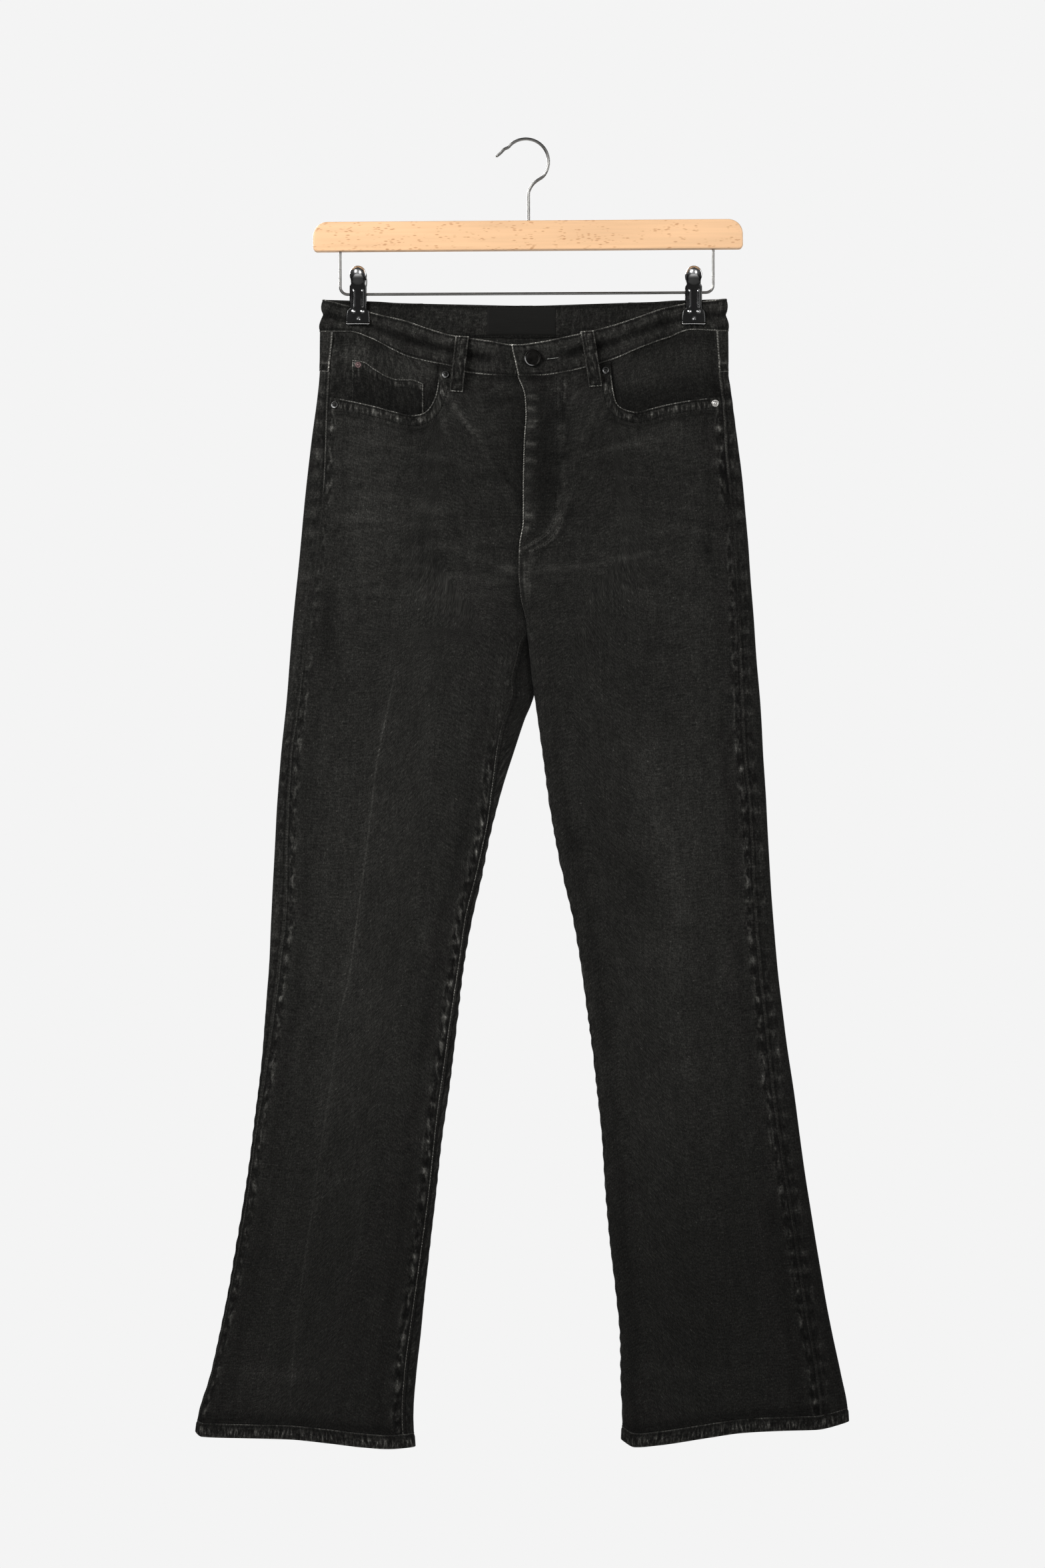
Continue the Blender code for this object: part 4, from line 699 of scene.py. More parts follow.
def press_panel(cloth, side, face):
    """Relief and wear of a front or back: seams, puckers beside them, creases and broad waves, and a
    painted shadow along each seam.
    """
    x, z = cloth.x, cloth.z
    front, left_front = face == "front", (side, face) == ("left", "front")
    seed = SIDE_SEED[side] + (0 if front else 50)
    depth = bpy.context.scene.jeans_cloth.pucker_depth / METRE
    lay_wear_and_shade(cloth, side, seed)
    calm = ease((z + 1262) / 25) * ease((-215 - z) / 60)
    cloth.relief += 0.9 * mottle(x, z, (62, 120), seed + 4) * calm
    cloth.relief += 0.35 * mottle(x, z, (24, 48), seed + 5) * calm
    legs = ease((CROTCH + 20 - z) / 30)
    low_leg = ease((-565 - z) / 60)
    thigh = ease((-350 - z) / 15) * ease((z - PUCKERS_BELOW[side]) / 60)
    outer_pitch, outer_width, outer_worn = OUTER_PUCKERS[side]
    inner_worn = (1.55 if left_front else 0.6) * legs * (0.08 + 0.92 * low_leg)
    for edge, pitch, middle, width, strength, worn in (
        ("start", outer_pitch, 5.5, outer_width, 0.8 - 0.4 * thigh, outer_worn * (1 - 0.75 * thigh)),
        ("end", 15, 6.8, 4.6, legs * (0.3 + 0.7 * low_leg), inner_worn),
    ):
        seed += 7
        wave = ripples(z, pitch, seed)
        ridge = ease(uneven(z, 11, seed + 3) * 2)
        stops = 1.5 * (worn * crest(wave, 0.9) - 0.36 * np.minimum(worn, 1.2))
        # Beside each seam, -1.1 stops at 2.4 mm is a painted shadow.
        cloth.bands(
            ("relief", depth * wave * strength, edge, middle, width), ("shade", stops, edge, middle, width),
            ("scuff", 0.6 * strength, edge, middle, width),
            ("relief", (-0.1 if front else -0.7) * strength, edge, 0, 1.3),
            ("shade", -1.1 * strength, edge, 2.4, 0.9),
            ("rungs", (-1.35 if front else -0.5) * strength, edge, 6.5, 3.4),
            ("shade", 0.8 * ridge * worn, edge, middle * 1.75, 1.1),
            ("relief", 0.3 * ridge * strength, edge, middle * 1.75, 1.1),
            ("shade", -0.35 * strength, edge, middle * 3.6, 6),
        )
    thin = 0
    for width, rise, worn, fade, *points in CREASES[side, face]:
        heights, places = np.array(sorted(points), float).T
        off = x - smooth(heights, places, z)
        ends = ease((z - heights[0] + 8) / (fade / 3)) * ease((heights[-1] + 8 - z) / fade)
        worn = worn * ends
        patchy = 0.75 + 0.25 * uneven(z, 37, seed + 9)
        cloth.bands(("relief", rise * ends, off, 0, max(width, 5)))
        if width < 4:
            faint = 0.55 + 0.45 * ease((z + 880) / 50)
            cloth.creases[thin] = (off, worn * patchy * faint)
            cloth.bands(("shade", 0.22 * worn * faint, off, 0, 5))
            thin += 1
        else:
            cloth.bands(("shade", 1.5 * worn * patchy, off, 0, width))
    for z0, z1, x0, x1, width, rise, worn in ACROSS_FOLDS[side, face]:
        along = (x - x0) / (x1 - x0)
        off = z - (z0 + (z1 - z0) * along) - 9 * bell(along - 0.5, 0.35)
        line = bell(off, width) * ease((along + 0.1) / 0.3) * ease((1.1 - along) / 0.3)
        line = line * (0.7 + 0.3 * mottle(x, z, 20, seed + 11))
        cloth.relief += rise * line
        cloth.shade += 1.8 * worn * line
    cloth.wear(start=side_wear(side, z) * (1 if front else 0.4),
               end=(1.2 if left_front else 0.2) * legs * (0.3 + 0.7 * low_leg))


def press_fans(cloth, side):
    """Fine creases that fan out from the pocket's end: a bell across each, broken along its length."""
    x, z = cloth.x, cloth.z
    for *line, width, worn in FANS[side]:
        along, off = beside(x, z, *line)
        off = off - 2 * np.sin(3 * along)
        start = worn * ease((along + 0.15) / 0.3)
        broken = start * ease((1.15 - along) / 0.5) * (0.75 + 0.35 * mottle(x, z, 6, int(-line[1])))
        cloth.bands(("shade", 1.8 * broken, off, 0, width), ("relief", 0.7 * broken, off, 0, width),
                    ("shade", -0.5 * start, off, 2.4 * width, width))


def press_fly(cloth, side):
    """The fly: its worn edge, the J of stitching sunk in, bars of wear across it, painted shade on the left
    front beside the fly and a painted shadow beside the J's foot.
    """
    x, z = cloth.x, cloth.z
    above = ease((z - CROTCH) / 12)
    if side == "left":
        # Painted shade along the left front's edge, where the right front overlaps it.
        cloth.bands(("shade", -0.8 * above, "end", 0, 7))
        return
    cloth.wear(end=(0.75 + 0.5 * ease((z + 415) / 20)) * above)
    in_fly = ease((z + 412) / 14)
    for height in FLY_BARS:
        reach = ease((13 + 5 * math.sin(height) - cloth.from_end) / 5) * ease((cloth.from_end - 1.2) / 1.2)
        bright = 0.9 if -366 <= height <= -320 else 1.9
        off = z - height - 2 * uneven(x, 9, -height)
        cloth.bands(("shade", bright * reach * in_fly, off, 0, 2.4),
                    ("relief", 0.3 * reach * in_fly, off, 0, 2.4))
    broken = ease(uneven(z, 8, 77) + 0.5)
    foot = ease((-366 - z) / 8) * ease((z + 411) / 4)
    # At the J's foot each row gets a light streak and a painted shadow 5 mm beside it.
    for row in ("outer", "inner"):
        off = x - FLY_STITCH(row, z)
        cloth.bands(("relief", -0.4 * ease((z + 400) / 10), off, 0, 0.9),
                    ("shade", 1.1 * broken * in_fly, off, 1.8, 1.5),
                    ("shade", 1.7 * foot, off, 0, 3), ("shade", -0.6 * foot, off, 5, 2.5))
    under_fly = ease((-412 - z) / 8) * ease((z + 472) / 30)
    cloth.bands(
        ("shade", -0.55 * in_fly, "end", 18, 11),
        ("shade", 0.9 * mottle(x, z, (4, 7), 75) * in_fly, x - FLY_STITCH("outer", z), 0, 9),
        ("shade", 0.5 * in_fly * uneven(z, 12, 78), "end", 4, 3.5),
        ("shade", 1.1 * under_fly, "end", 5.8, 1.2), ("shade", 0.8 * under_fly, "end", 9.8, 1.6),
        ("shade", -0.7 * under_fly, "end", 3.4, 1.1),
    )


def line_distance(x, z, points):
    """The shortest distance in the front view from each place to a line through the points."""
    nearest = np.full(x.shape, 99.0)
    for (x0, z0), (x1, z1) in zip(points[:-1], points[1:]):
        length = (x1 - x0) ** 2 + (z1 - z0) ** 2
        share = np.clip(((x - x0) * (x1 - x0) + (z - z0) * (z1 - z0)) / length, 0.0, 1.0)
        nearest = np.minimum(nearest, np.hypot(x - x0 - (x1 - x0) * share, z - z0 - (z1 - z0) * share))
    return nearest


def pocket_route(side, off):
    """The pocket opening as a fine line, moved square to itself onto the front."""
    route = fine_route(POCKETS[side], 1.2)
    along = unit(np.gradient(route, axis=0))
    below = np.stack([along[:, 1], -along[:, 0]], axis=-1) * INWARD[side]
    moved = route + below * off
    side_x = float(panel(side, "front", 0.0, POCKET_SIDE_Z)[0])
    inside = (moved[:, 0] - side_x) * INWARD[side] > 1.5
    return moved[inside & (moved[:, 1] < FRONT_BAND("seam", moved[:, 0]) - 1.5)]


def leg_nodes(face, side):
    """The three solids that stand for one leg's panel."""
    return [f"{face}_{side}", f"{face}_knee_{side}", f"{face}_calf_{side}"]


def front_edge(side):
    """The front's upper edge as a fine line: the pocket opening, then the waistband's seam."""
    seam_x = np.linspace(POCKET_END_X[side], float(FLY_LINE("x", FLY_TOP)), 6)
    seam = list(zip(seam_x, FRONT_BAND("seam", seam_x) + TUCK))
    side_x = float(panel(side, "front", 0, POCKET_SIDE_Z)[0])
    points = np.array([(side_x, POCKET_SIDE_Z), *POCKETS[side], *seam])
    return points, lengths_along(points, 0)


def panel_cloth(side, face, across, heights, outer=0.0, inner=CLOTH):
    """Cloth on a panel, between two depths below its outer face."""
    return Cloth(panel(side, face, across, heights, outer), panel(side, face, across, heights, inner))


def front_cloth(side, columns, step):
    """A front's grid: columns start along the pocket opening and spread out evenly below it."""
    points, length = front_edge(side)
    even = gathered(columns, 0.72)
    places = even * length[-1]
    edge_x, edge_z = (smooth(length, values, places) for values in points.T)
    seam_from = length[len(POCKETS[side]) + 1]
    edge_z = np.where(places > seam_from, FRONT_BAND("seam", edge_x) + TUCK, edge_z)
    across = across_at(side, "front", edge_x, edge_z)
    across = (across - across[0]) / (across[-1] - across[0])
    hem_x = panel(side, "front", even, CUFF_HEIGHT)[:, 0]
    hem = HEMS[side]("bottom", hem_x) + HEM_HEIGHT - 1
    upper = edge_steps(-CROTCH - 240, step)[:-7, None]
    lower = np.arange(0, 1.0001, step / 790)[:, None]
    heights = np.concatenate([edge_z + (CROTCH - edge_z) * upper, CROTCH + (hem - CROTCH) * lower])
    share = np.linspace(0, 1, len(heights))[:, None]
    mix = across + (even - across) * ease((share - 0.02) / 0.25)
    cloth = panel_cloth(side, "front", mix, heights)
    cloth.pocket = ease((seam_from - places) / 6) * ease((places - 2) / 3)
    cloth.from_opening = line_distance(cloth.x, cloth.z, pocket_route(side, 0))
    return cloth


def make_front(side, finish):
    """A front, with the turned edge of its pocket opening and its half of the fly."""
    cloth = front_cloth(side, 76, 2.7)
    press_panel(cloth, side, "front")
    press_fly(cloth, side)
    press_fans(cloth, side)
    for stops, width, *line in FRONT_MARKS[side]:
        cloth.bands(("shade", stops, line_distance(cloth.x, cloth.z, line), 0, width))
    along = cloth.from_start[:1] + 0 * cloth.x
    hem = ease((11.5 - cloth.from_opening) / 1.5)
    seam = 1 - cloth.pocket
    wave = ripples(along, 8.5, SIDE_SEED[side] + 31)
    gathers = crest(ripples(cloth.x, 9, SIDE_SEED[side] + 33))
    cloth.relief += 0.45 * hem
    cloth.scuff += 0.7 * hem
    cloth.sink(0.22, 0.8, opening=(1.8, 10))
    # Painted shadows: under the waistband's seam along the top, and in a band just above the hem.
    cloth.bands(
        ("relief", 0.22 * wave * hem, "opening", 5.5, 4), ("rungs", 1.3, "opening", 6, 3.6),
        ("shade", hem * (0.8 * crest(wave, 1.5) - 0.1), "opening", 6, 4),
        ("shade", 0.9 * ease(uneven(along, 14, 79) + 0.4), "opening", 11.4, 1.4),
        ("shade", -0.6, "opening", 14.5, 2.5), ("shade", -0.8, "opening", 2, 0.8),
        ("shade", -0.8, "opening", 10.2, 0.8), ("shade", -0.7, "low", 3, 6),
        ("shade", -0.9 * seam, "top", 0, 6), ("shade", 0.8 * seam * gathers, "top", 8, 6),
    )
    cloth.wear(top=0, opening=1)
    cloth.finish_grid(0.55, "top start end")
    return cloth, cloth.make("denim_front_" + side, leg_nodes("front", side), finish)


def back_heights(side, name, across, offset):
    """Heights of a line across the back, found where the panel's columns meet it."""
    height = np.full_like(across, -230.0)
    for _ in range(6):
        height = BACK_BAND(name, panel(side, "back", across, height)[:, 0]) + offset
    return height


def make_back(side, finish):
    """A back, from the yoke seam to the hem, round both folds of the leg."""
    across = gathered(84, 0.72)
    top = back_heights(side, "yoke", across, -0.02)
    hem_x, hem_y, _ = panel(side, "back", across, CUFF_HEIGHT).T
    outer, inner = OUTLINE(side, CUFF_HEIGHT), INNER(side, CUFF_HEIGHT)
    share = np.clip((hem_x - outer) / (inner - outer), 0, 1)
    lift = BACK_HEM_LIFT * 2 * np.sqrt(share * (1 - share)) * ease(hem_y + 0.5)
    hem = HEMS[side]("bottom", hem_x) + lift + HEM_HEIGHT - 1.3
    cloth = panel_cloth(side, "back", across, top + (hem - top) * edge_steps(1030, 2.7)[:, None])
    press_panel(cloth, side, "back")
    z, seed = cloth.z, SIDE_SEED[side]
    rise = ease((z - CROTCH) / 12)
    wave, gathers = ripples(z, 11, seed + 63), ripples(cloth.x, 10, seed + 64)
    # Painted shade, with some unworn cloth: on the left back, a darker wedge beside the inseam below the
    # crotch.
    wedge = ease((z + 625) / 95) * ease((CROTCH + 6 - z) / 10) * (side == "left")
    cloth.bands(
        ("shade", 0.7 * ease((z + 420) / 40) * ripples(z, 21, seed + 65), "start", 8, 9),
        ("relief", 0.3 * wave * rise, "end", 5, 4), ("shade", 0.9 * crest(wave) * rise, "end", 5, 4),
        ("shade", -0.45 * wedge, "end", 12, 22), ("shade", -0.8 * wedge, "end", 0, 8),
        ("relief", 0.25 * gathers, "top", 5, 4), ("shade", 0.9 * crest(gathers), "top", 5, 4),
    )
    cloth.wear(end=0.6 * rise, top=0)
    cloth.finish_grid(0.45, "top start end")
    return cloth, cloth.make("denim_back_" + side, leg_nodes("back", side), finish)


def make_yoke(side, finish):
    """The yoke between the waistband and the back."""
    across = gathered(84, 0.72)
    top = back_heights(side, "seam", across, TUCK)
    low = back_heights(side, "yoke", across, 0.02)
    cloth = panel_cloth(side, "back", across, top + (low - top) * edge_steps(50, 2.2)[:, None])
    x, z, seed = cloth.x, cloth.z, SIDE_SEED[side] + 70
    lay_wear_and_shade(cloth, side, seed)
    wave = ripples(x, 10.5, seed + 1)
    group = 0.5 + 0.5 * mottle(x, z, (24, 20), seed + 4)
    at_side = bell(cloth.from_start - 6, 9)
    cloth.relief += 0.15
    cloth.shade += 0.5 * (1.3 * crest(mottle(x, z, (4, 12), seed + 3)) - 0.3) * group
    cloth.scuff[:] = 0.6
    cloth.bands(
        ("relief", 0.3 * wave, "low", 5, 4), ("shade", 0.9 * crest(wave), "low", 5, 4),
        ("relief", -0.4, "end", 0, 1.2), ("relief", -0.3, "start", 0, 1.2), ("rungs", 1, "low", 5, 3.5),
        ("shade", 1.6 * at_side, "low", 9, 1.1), ("shade", -0.8 * at_side, "low", 4.5, 2.5),
    )
    cloth.wear(low=0.9, end=0.5, start=0.95)
    cloth.finish_grid(0.5, "low start end")
    return cloth, cloth.make("denim_yoke_" + side, ["yoke_" + side], finish)


OVERLAP_TOP_X, OVERLAP_BOTTOM_X, UNDERLAP_X = -17.8, -10.8, 16.0
UNDERLAP_START_X, UNDERLAP_EASE, UNDERLAP_DEPTH = -20.0, 16.0, 3.3


def make_waistband(finish):
    """One strip from the underlap round the back to the overlap, folded over at its top."""
    share = 1 - edge_steps(34, 1.5)[:, None]
    overlap_x = OVERLAP_BOTTOM_X + (OVERLAP_TOP_X - OVERLAP_BOTTOM_X) * share
    start = front_angle(UNDERLAP_X, BUTTON_Z - 1)
    end = 2 * np.pi + front_angle(overlap_x, BUTTON_Z - 1)
    ends = np.array([0, 0.0006, 0.0015, 0.003])
    station = np.concatenate([ends, np.linspace(0.005, 0.995, 430), 1 - ends[::-1]])[None, :]
    angle = start + (end - start) * station
    x, y, _ = np.moveaxis(band_points(angle, share, 0), -1, 0)
    under = np.where(angle < 2 * np.pi, 1 - ease((UNDERLAP_START_X - x) / UNDERLAP_EASE), 0)
    under = under * UNDERLAP_DEPTH
    free = 1 - near_clip(x)
    puff = 1.3 * np.sin(2 * np.pi * share) ** 2 * free
    cloth = Cloth(band_points(angle, share, under - BAND_OUT - puff),
                  band_points(angle, share, under + BAND_IN))
    length, z = cloth.even_length(), cloth.z
    front = ease(np.abs(x) / 30 - 0.6) * ease((3 - y) / 2)
    fold = (share - 0.52) * 34 + 1.5 * uneven(length, 30, 40)
    deep = front * (0.85 + 0.25 * uneven(length, 26, 39))
    wave = ripples(length, 11, 41)
    ragged = ease(0.75 + uneven(length, 13, 45))
    cloth.scuff[:] = 0.7
    cloth.shade += 0.14 * crest(wave) - 0.15
    cloth.shade += 0.3 * mottle(length, z, (18, 11), 43) + 0.25 * mottle(length, z, (4, 10), 44)
    # Painted shade in the trough of the fold across the front, and painted light on the rolls either side
    # of it.
    cloth.bands(
        ("relief", -1.2 * front * free, fold, 0, 2.6), ("shade", -1.5 * deep, fold, -0.6, 3.6),
        ("shade", 0.55 * deep, fold, 8, 3.4), ("shade", 0.44 * deep, fold, -8.5, 3.4),
        ("shade", 0.35 * crest(wave), "top", 5, 5), ("shade", 0.35 * ragged, "top", 1.2, 0.9),
        ("shade", 1.6 * (bell(cloth.from_top, 3) + bell(cloth.from_low, 3)), "end", 1, 2.2),
    )
    cloth.sink(0.25, 0.7, top=(2.2,), low=(2.2,))
    for edge in ("top", "low"):
        cloth.bands(
            ("relief", 0.22 * wave * free, edge, 5, 3), ("shade", -1, edge, 2.8, 0.9),
            ("shade", 0.45 * ragged, edge, 1.2, 0.9), ("shade", 0.45 * ragged, edge, 4.6, 1.4),
            ("rungs", 0.5, edge, 4, 2.5),
        )
    streak = crest(ripples(length, 9, 47), 3) * bell(share - 0.5, 0.38)
    cloth.inner_shade = (0.25 * mottle(length, z, (9, 30), 48) + 1.1 * streak - 0.15
                         - bell(cloth.from_top - 3, 1) - 0.5 * bell(cloth.from_low, 4))
    rough = 0.65 + 0.4 * ragged
    cloth.wear(low=rough * (0.2 + 0.8 * ease((1.5 - y) / 2)), top=rough, end=1.25)
    cloth.finish_grid(1.15, "top low start end")
    return cloth, cloth.make("denim_waistband", ["waistband"], finish)


def make_hem(side, finish):
    """The turned hem: a ring below the leg, roped by its stitching."""
    angle = np.linspace(0, 2 * np.pi, 300, endpoint=False)[None, :]
    share = edge_steps(HEM_HEIGHT, 1.1)[:, None]
    lift = BACK_HEM_LIFT * crest(np.sin(angle))
    grids = []
    for inset in (-0.15, HEM_IN):
        height = np.full(np.broadcast(angle, share).shape, CUFF_HEIGHT)
        for _ in range(6):
            x, y = leg_ring(side, angle + 0 * share, height, inset)
            height = HEMS[side]("bottom", x) + lift + HEM_HEIGHT * (1 - share)
        grids.append(placed(x, y, height))
    cloth = Cloth(*grids, ring=True)
    length, seed = cloth.even_length(), SIDE_SEED[side] + 80
    lay_wear_and_shade(cloth, side, seed)
    wave = ripples(length, 8, seed + 1)
    cloth.relief += 0.5 * ease((cloth.from_top - 1) / 3)
    cloth.scuff[:] = 0.9
    cloth.bands(
        ("relief", 0.24 * wave, "top", 7.5, 5.5), ("relief", -0.3, "top", 1.6, 0.8),
        ("shade", crest(wave, 1.6) - 0.1, "top", 8, 4.5), ("shade", 0.15, "top", 9, 5),
        ("rungs", 1.55, "top", 8.5, 5), ("shade", -0.8, "top", 2.6, 1),
        ("shade", 0.9 * ease(uneven(length, 9, seed + 2) + 0.8), "top", 1, 1.3),
    )
    cloth.wear(low=0.45, top=0.28 + 0.5 * uneven(length, 12, seed + 3))
    cloth.finish_grid(1, "low")
    return cloth, cloth.make("denim_hem_" + side, ["hem_" + side], finish)


def pocket_edge_height(side, xs):
    """Height of the pocket opening above x."""
    points = sorted(POCKETS[side])
    return np.interp(xs, [x for x, _ in points], [z for _, z in points])


# Of each facing: its depth behind the front, how many stops of painted shade darken it, how mottled and how
# scuffed it is.
FACINGS = {"left": (3.2, 0.85, 1.5, 0.8), "right": (1.9, 1.15, 0.5, 0.4)}


def make_facing(side, finish):
    """The cloth behind the opening, tucked under the side seam and the front's edge."""
    depth, dark, mottled, scuffed = FACINGS[side]
    end = across_at(side, "front", POCKET_END_X[side] + INWARD[side] * 9, -240)
    across = np.linspace(-0.04, float(end), 70)
    xs = panel(side, "front", across, -225)[:, 0]
    top = FRONT_BAND("seam", xs) + TUCK
    low = np.minimum(pocket_edge_height(side, xs), -250) - 13
    heights = top + (low - top) * np.linspace(0, 1, 40)[:, None]
    under = depth - (depth - 0.9) * ease((heights - top + 7) / 7)
    cloth = panel_cloth(side, "front", across, heights, under, depth + 1)
    x, z, seed = cloth.x, cloth.z, SIDE_SEED[side] + 90
    below = z - pocket_edge_height(side, x)
    # Painted shade: darkest along the opening's edge, where the front stands over the facing, lighter
    # higher up.
    cloth.shade += 1.05 * ease((below - 6) / 26) - dark
    cloth.shade += mottled * (0.34 * mottle(x, z, (16, 12), seed) + 0.22 * mottle(x, z, (5, 9), seed + 1))
    cloth.bands(("shade", -0.6, below, 62, 6), ("shade", -0.5, "start", 8, 4))
    cloth.scuff[:] = scuffed
    cloth.relief += 0.4 * mottle(x, z, (30, 22), seed + 2) * ease((top - heights) / 15)
    cloth.finish_grid(0.4, "low")
    return cloth, cloth.make("denim_facing_" + side, ["pocket_facing_" + side], finish)


def make_coin_pocket(finish):
    """The small pocket on the left facing, which runs down behind the front's edge."""
    xs = gathered(44, 0.6) * 71 - 176.5
    top = COIN_TOP("top", xs)
    low = pocket_edge_height("left", xs) - 8
    heights = top + (low - top) * edge_steps(45, 1.6)[:, None]
    across = across_at("left", "front", xs + 0 * heights, heights)
    cloth = panel_cloth("left", "front", across, heights, COIN_DEPTH - 0.15, COIN_DEPTH + 1)
    x, z = cloth.x, cloth.z
    tack = np.maximum(np.abs(cloth.from_start - 4) - 2.6, np.abs(cloth.from_top - 9) - 6.5)
    corner = np.hypot(cloth.from_end - 2, cloth.from_top - 2)
    # Painted shade: the pocket darker overall and down towards the part behind the front's edge.
    cloth.shade += 0.4 * mottle(x, z, (13, 12), 301) + 0.3 * mottle(x, z, (4, 7), 303) - 0.95
    cloth.shade -= 0.5 * ease((cloth.from_top - 14) / 20)
    cloth.relief += 0.3 * ease((11 - cloth.from_top) / 1.5)
    cloth.scuff[:] = 0.7
    cloth.bands(
        ("shade", 2.3, tack, 0, 0.8), ("shade", 2.3, corner, 0, 3), ("shade", -0.9, "end", 3, 1.3),
        ("shade", 0.7, "top", 4, 4), ("rungs", 1, "top", 5, 3.5),
        ("relief", 0.15 * ripples(x, 7, 302), "top", 5, 4),
    )
    cloth.sink(0.2, 0.7, top=(1.8, 8), start=(1.8,), end=(1.8,))
    cloth.wear(top=1, end=0.95, start=0.55)
    cloth.finish_grid(0.5, "top start end")
    return cloth, cloth.make("denim_coin_pocket", ["coin_pocket"], finish)


PATCH = {"top": -284.0, "top_width": 134.0, "low_width": 118.0, "side_height": 118.0, "point": 20.0,
         "tilt": 5.0, "off": 0.45, "thick": 1.1, "turn": 0.5}
PATCH_X = {"left": -103.0, "right": 97.0}


def make_back_pocket(side, finish):
    """A patch pocket: straight at the top, with a point at the bottom and a turned upper edge."""
    across = (gathered(56, 0.6) * 2 - 1)[None, :]
    down = edge_steps(128, 2.4)[:, None]
    width = PATCH["top_width"] + (PATCH["low_width"] - PATCH["top_width"]) * down
    drop = PATCH["side_height"] + PATCH["point"] * (1 - np.sqrt(across**2 + 0.001))
    outward = -INWARD[side] * PATCH["tilt"]
    xs = PATCH_X[side] + across * width / 2 + outward * down
    heights = PATCH["top"] - drop * down + outward * across * PATCH["turn"]
    places = across_at(side, "back", xs, heights)
    cloth = panel_cloth(side, "back", places, heights, -PATCH["off"] - PATCH["thick"], -0.1)
    x, z, seed = cloth.x, cloth.z, SIDE_SEED[side] + 120
    cloth.from_edge = np.min([cloth.from_start, cloth.from_end, cloth.from_low], axis=0)
    wave = ripples(z, 8, seed + 1) * bell(cloth.from_low, 90)
    cloth.relief += 0.9 * mottle(x, z, (62, 120), SIDE_SEED[side] + 54)
    cloth.relief += 0.4 * bell(across, 0.6) * bell(down - 0.1, 0.2)
    cloth.relief += 0.35 * ease((15.5 - cloth.from_top) / 1.5)
    cloth.relief += 0.5 * mottle(x, z, (30, 40), seed) * bell(across, 0.7)
    cloth.shade += 0.3 * mottle(x, z, (28, 35), seed + 2) + 0.2 * mottle(x, z, (6, 12), seed + 3)
    cloth.scuff[:] = 0.35 + 0.5 * bell(cloth.from_edge, 9)
    cloth.bands(
        ("relief", 0.18 * wave, "edge", 4.5, 3), ("shade", 0.9 * crest(wave), "edge", 4.5, 3.5),
        ("shade", 0.7 * crest(ripples(x, 9, seed + 4)), "top", 8, 5),
    )
    cloth.shade += 0.1
    cloth.sink(0.2, 0.8, edge=(1.8, 7.8), top=(2, 14))
    cloth.wear(edge=0.75, top=0.85)
    cloth.finish_grid(0.55, "top low start end")
    return cloth, cloth.make("denim_back_pocket_" + side, ["back_pocket_" + side], finish)


LOOP_WIDTH, LOOP_LENGTH, LOOP_THICK, LOOP_STAND = 13.0, 55.0, 1.6, 5.4
LOOPS = {
    "front_left": ("front", -66, -72), "front_right": ("front", 57, 65.5),
    "back_left": ("back", -112, -114), "back_centre": ("back", -3, -3),
    "back_right": ("back", 105, 107),
}


def make_loop(name, finish):
    """A belt loop, fixed at its two ends and standing off the waistband between them."""
    face, top_x, low_x = LOOPS[name]
    front = face == "front"
    outward, band = (-1, FRONT_BAND) if front else (1, BACK_BAND)
    down = edge_steps(LOOP_LENGTH, 1.3)[:, None]
    across = (gathered(14, 0.6)[None, :] - 0.5) * LOOP_WIDTH
    heights = band("top", top_x) + 0.5 - LOOP_LENGTH * down
    heights = heights + (across / LOOP_WIDTH) * (low_x - top_x) * 0.12 * front
    stand = ease(down / 0.2) * ease((1 - down) / 0.22) * LOOP_STAND
    stand = stand + 0.3 + 1.4 * ease((heights - band("seam", top_x) + 4) / 6)
    x, y = hip_point(face, top_x + (low_x - top_x) * down + across, heights, 0)
    if front:
        y = y + fold_depth(x, heights)
    cloth = Cloth(*(placed(x, y + outward * (stand + extra), heights) for extra in (LOOP_THICK, 0)))
    seed, middle = 400 + len(name) * 3, LOOP_WIDTH / 2
    wave = ripples(cloth.z, 7, seed)
    cloth.relief += 0.3 * wave
    cloth.shade += 0.4 * mottle(cloth.x, cloth.z, (4, 6), seed + 1) - 0.3
    cloth.rungs[:], cloth.scuff[:] = 0.8, 1
    cloth.bands(("relief", 0.35, "start", middle, 3.2), ("shade", crest(wave), "start", middle, 4))
    for edge in ("start", "end"):
        cloth.bands(("shade", -0.8, edge, 2.6, 0.8),
                    ("shade", 1.6 * bell(cloth.from_top - 1, 2.4), edge, 0, 2.6),
                    ("shade", 1.5 * bell(cloth.from_low - 1.6, 1.8), edge, 1, 3.2))
    cloth.sink(0.2, 0.6, start=(2.6,), end=(2.6,))
    cloth.wear(start=0.42, end=0.42, top=0.8, low=1)
    cloth.finish_grid(0.75, "top low start end")
    return cloth, cloth.make("denim_loop_" + name, ["belt_loop_" + name], finish)


LABEL = {"left": -42.0, "right": 26.5, "top": -164.5, "bottom": -191.5, "thick": 0.5}


def make_label(finish):
    """A plain woven label on the inner face of the waistband."""
    xs = np.linspace(LABEL["left"], LABEL["right"], 60)[None, :]
    heights = np.linspace(LABEL["top"], LABEL["bottom"], 24)[:, None] + 0 * xs
    cloth = Cloth(*(placed(*hip_point("back", xs + 0 * heights, heights, BAND_IN + inset), heights)
                    for inset in (0.3 + LABEL["thick"], 0.2)))
    cloth.relief += 0.12 * mottle(cloth.x, cloth.z, (17, 12), 500)
    cloth.finish_grid(0.25, "top low start end")
    return cloth.make("satin_label", ["waist_label"], finish, slot="label")


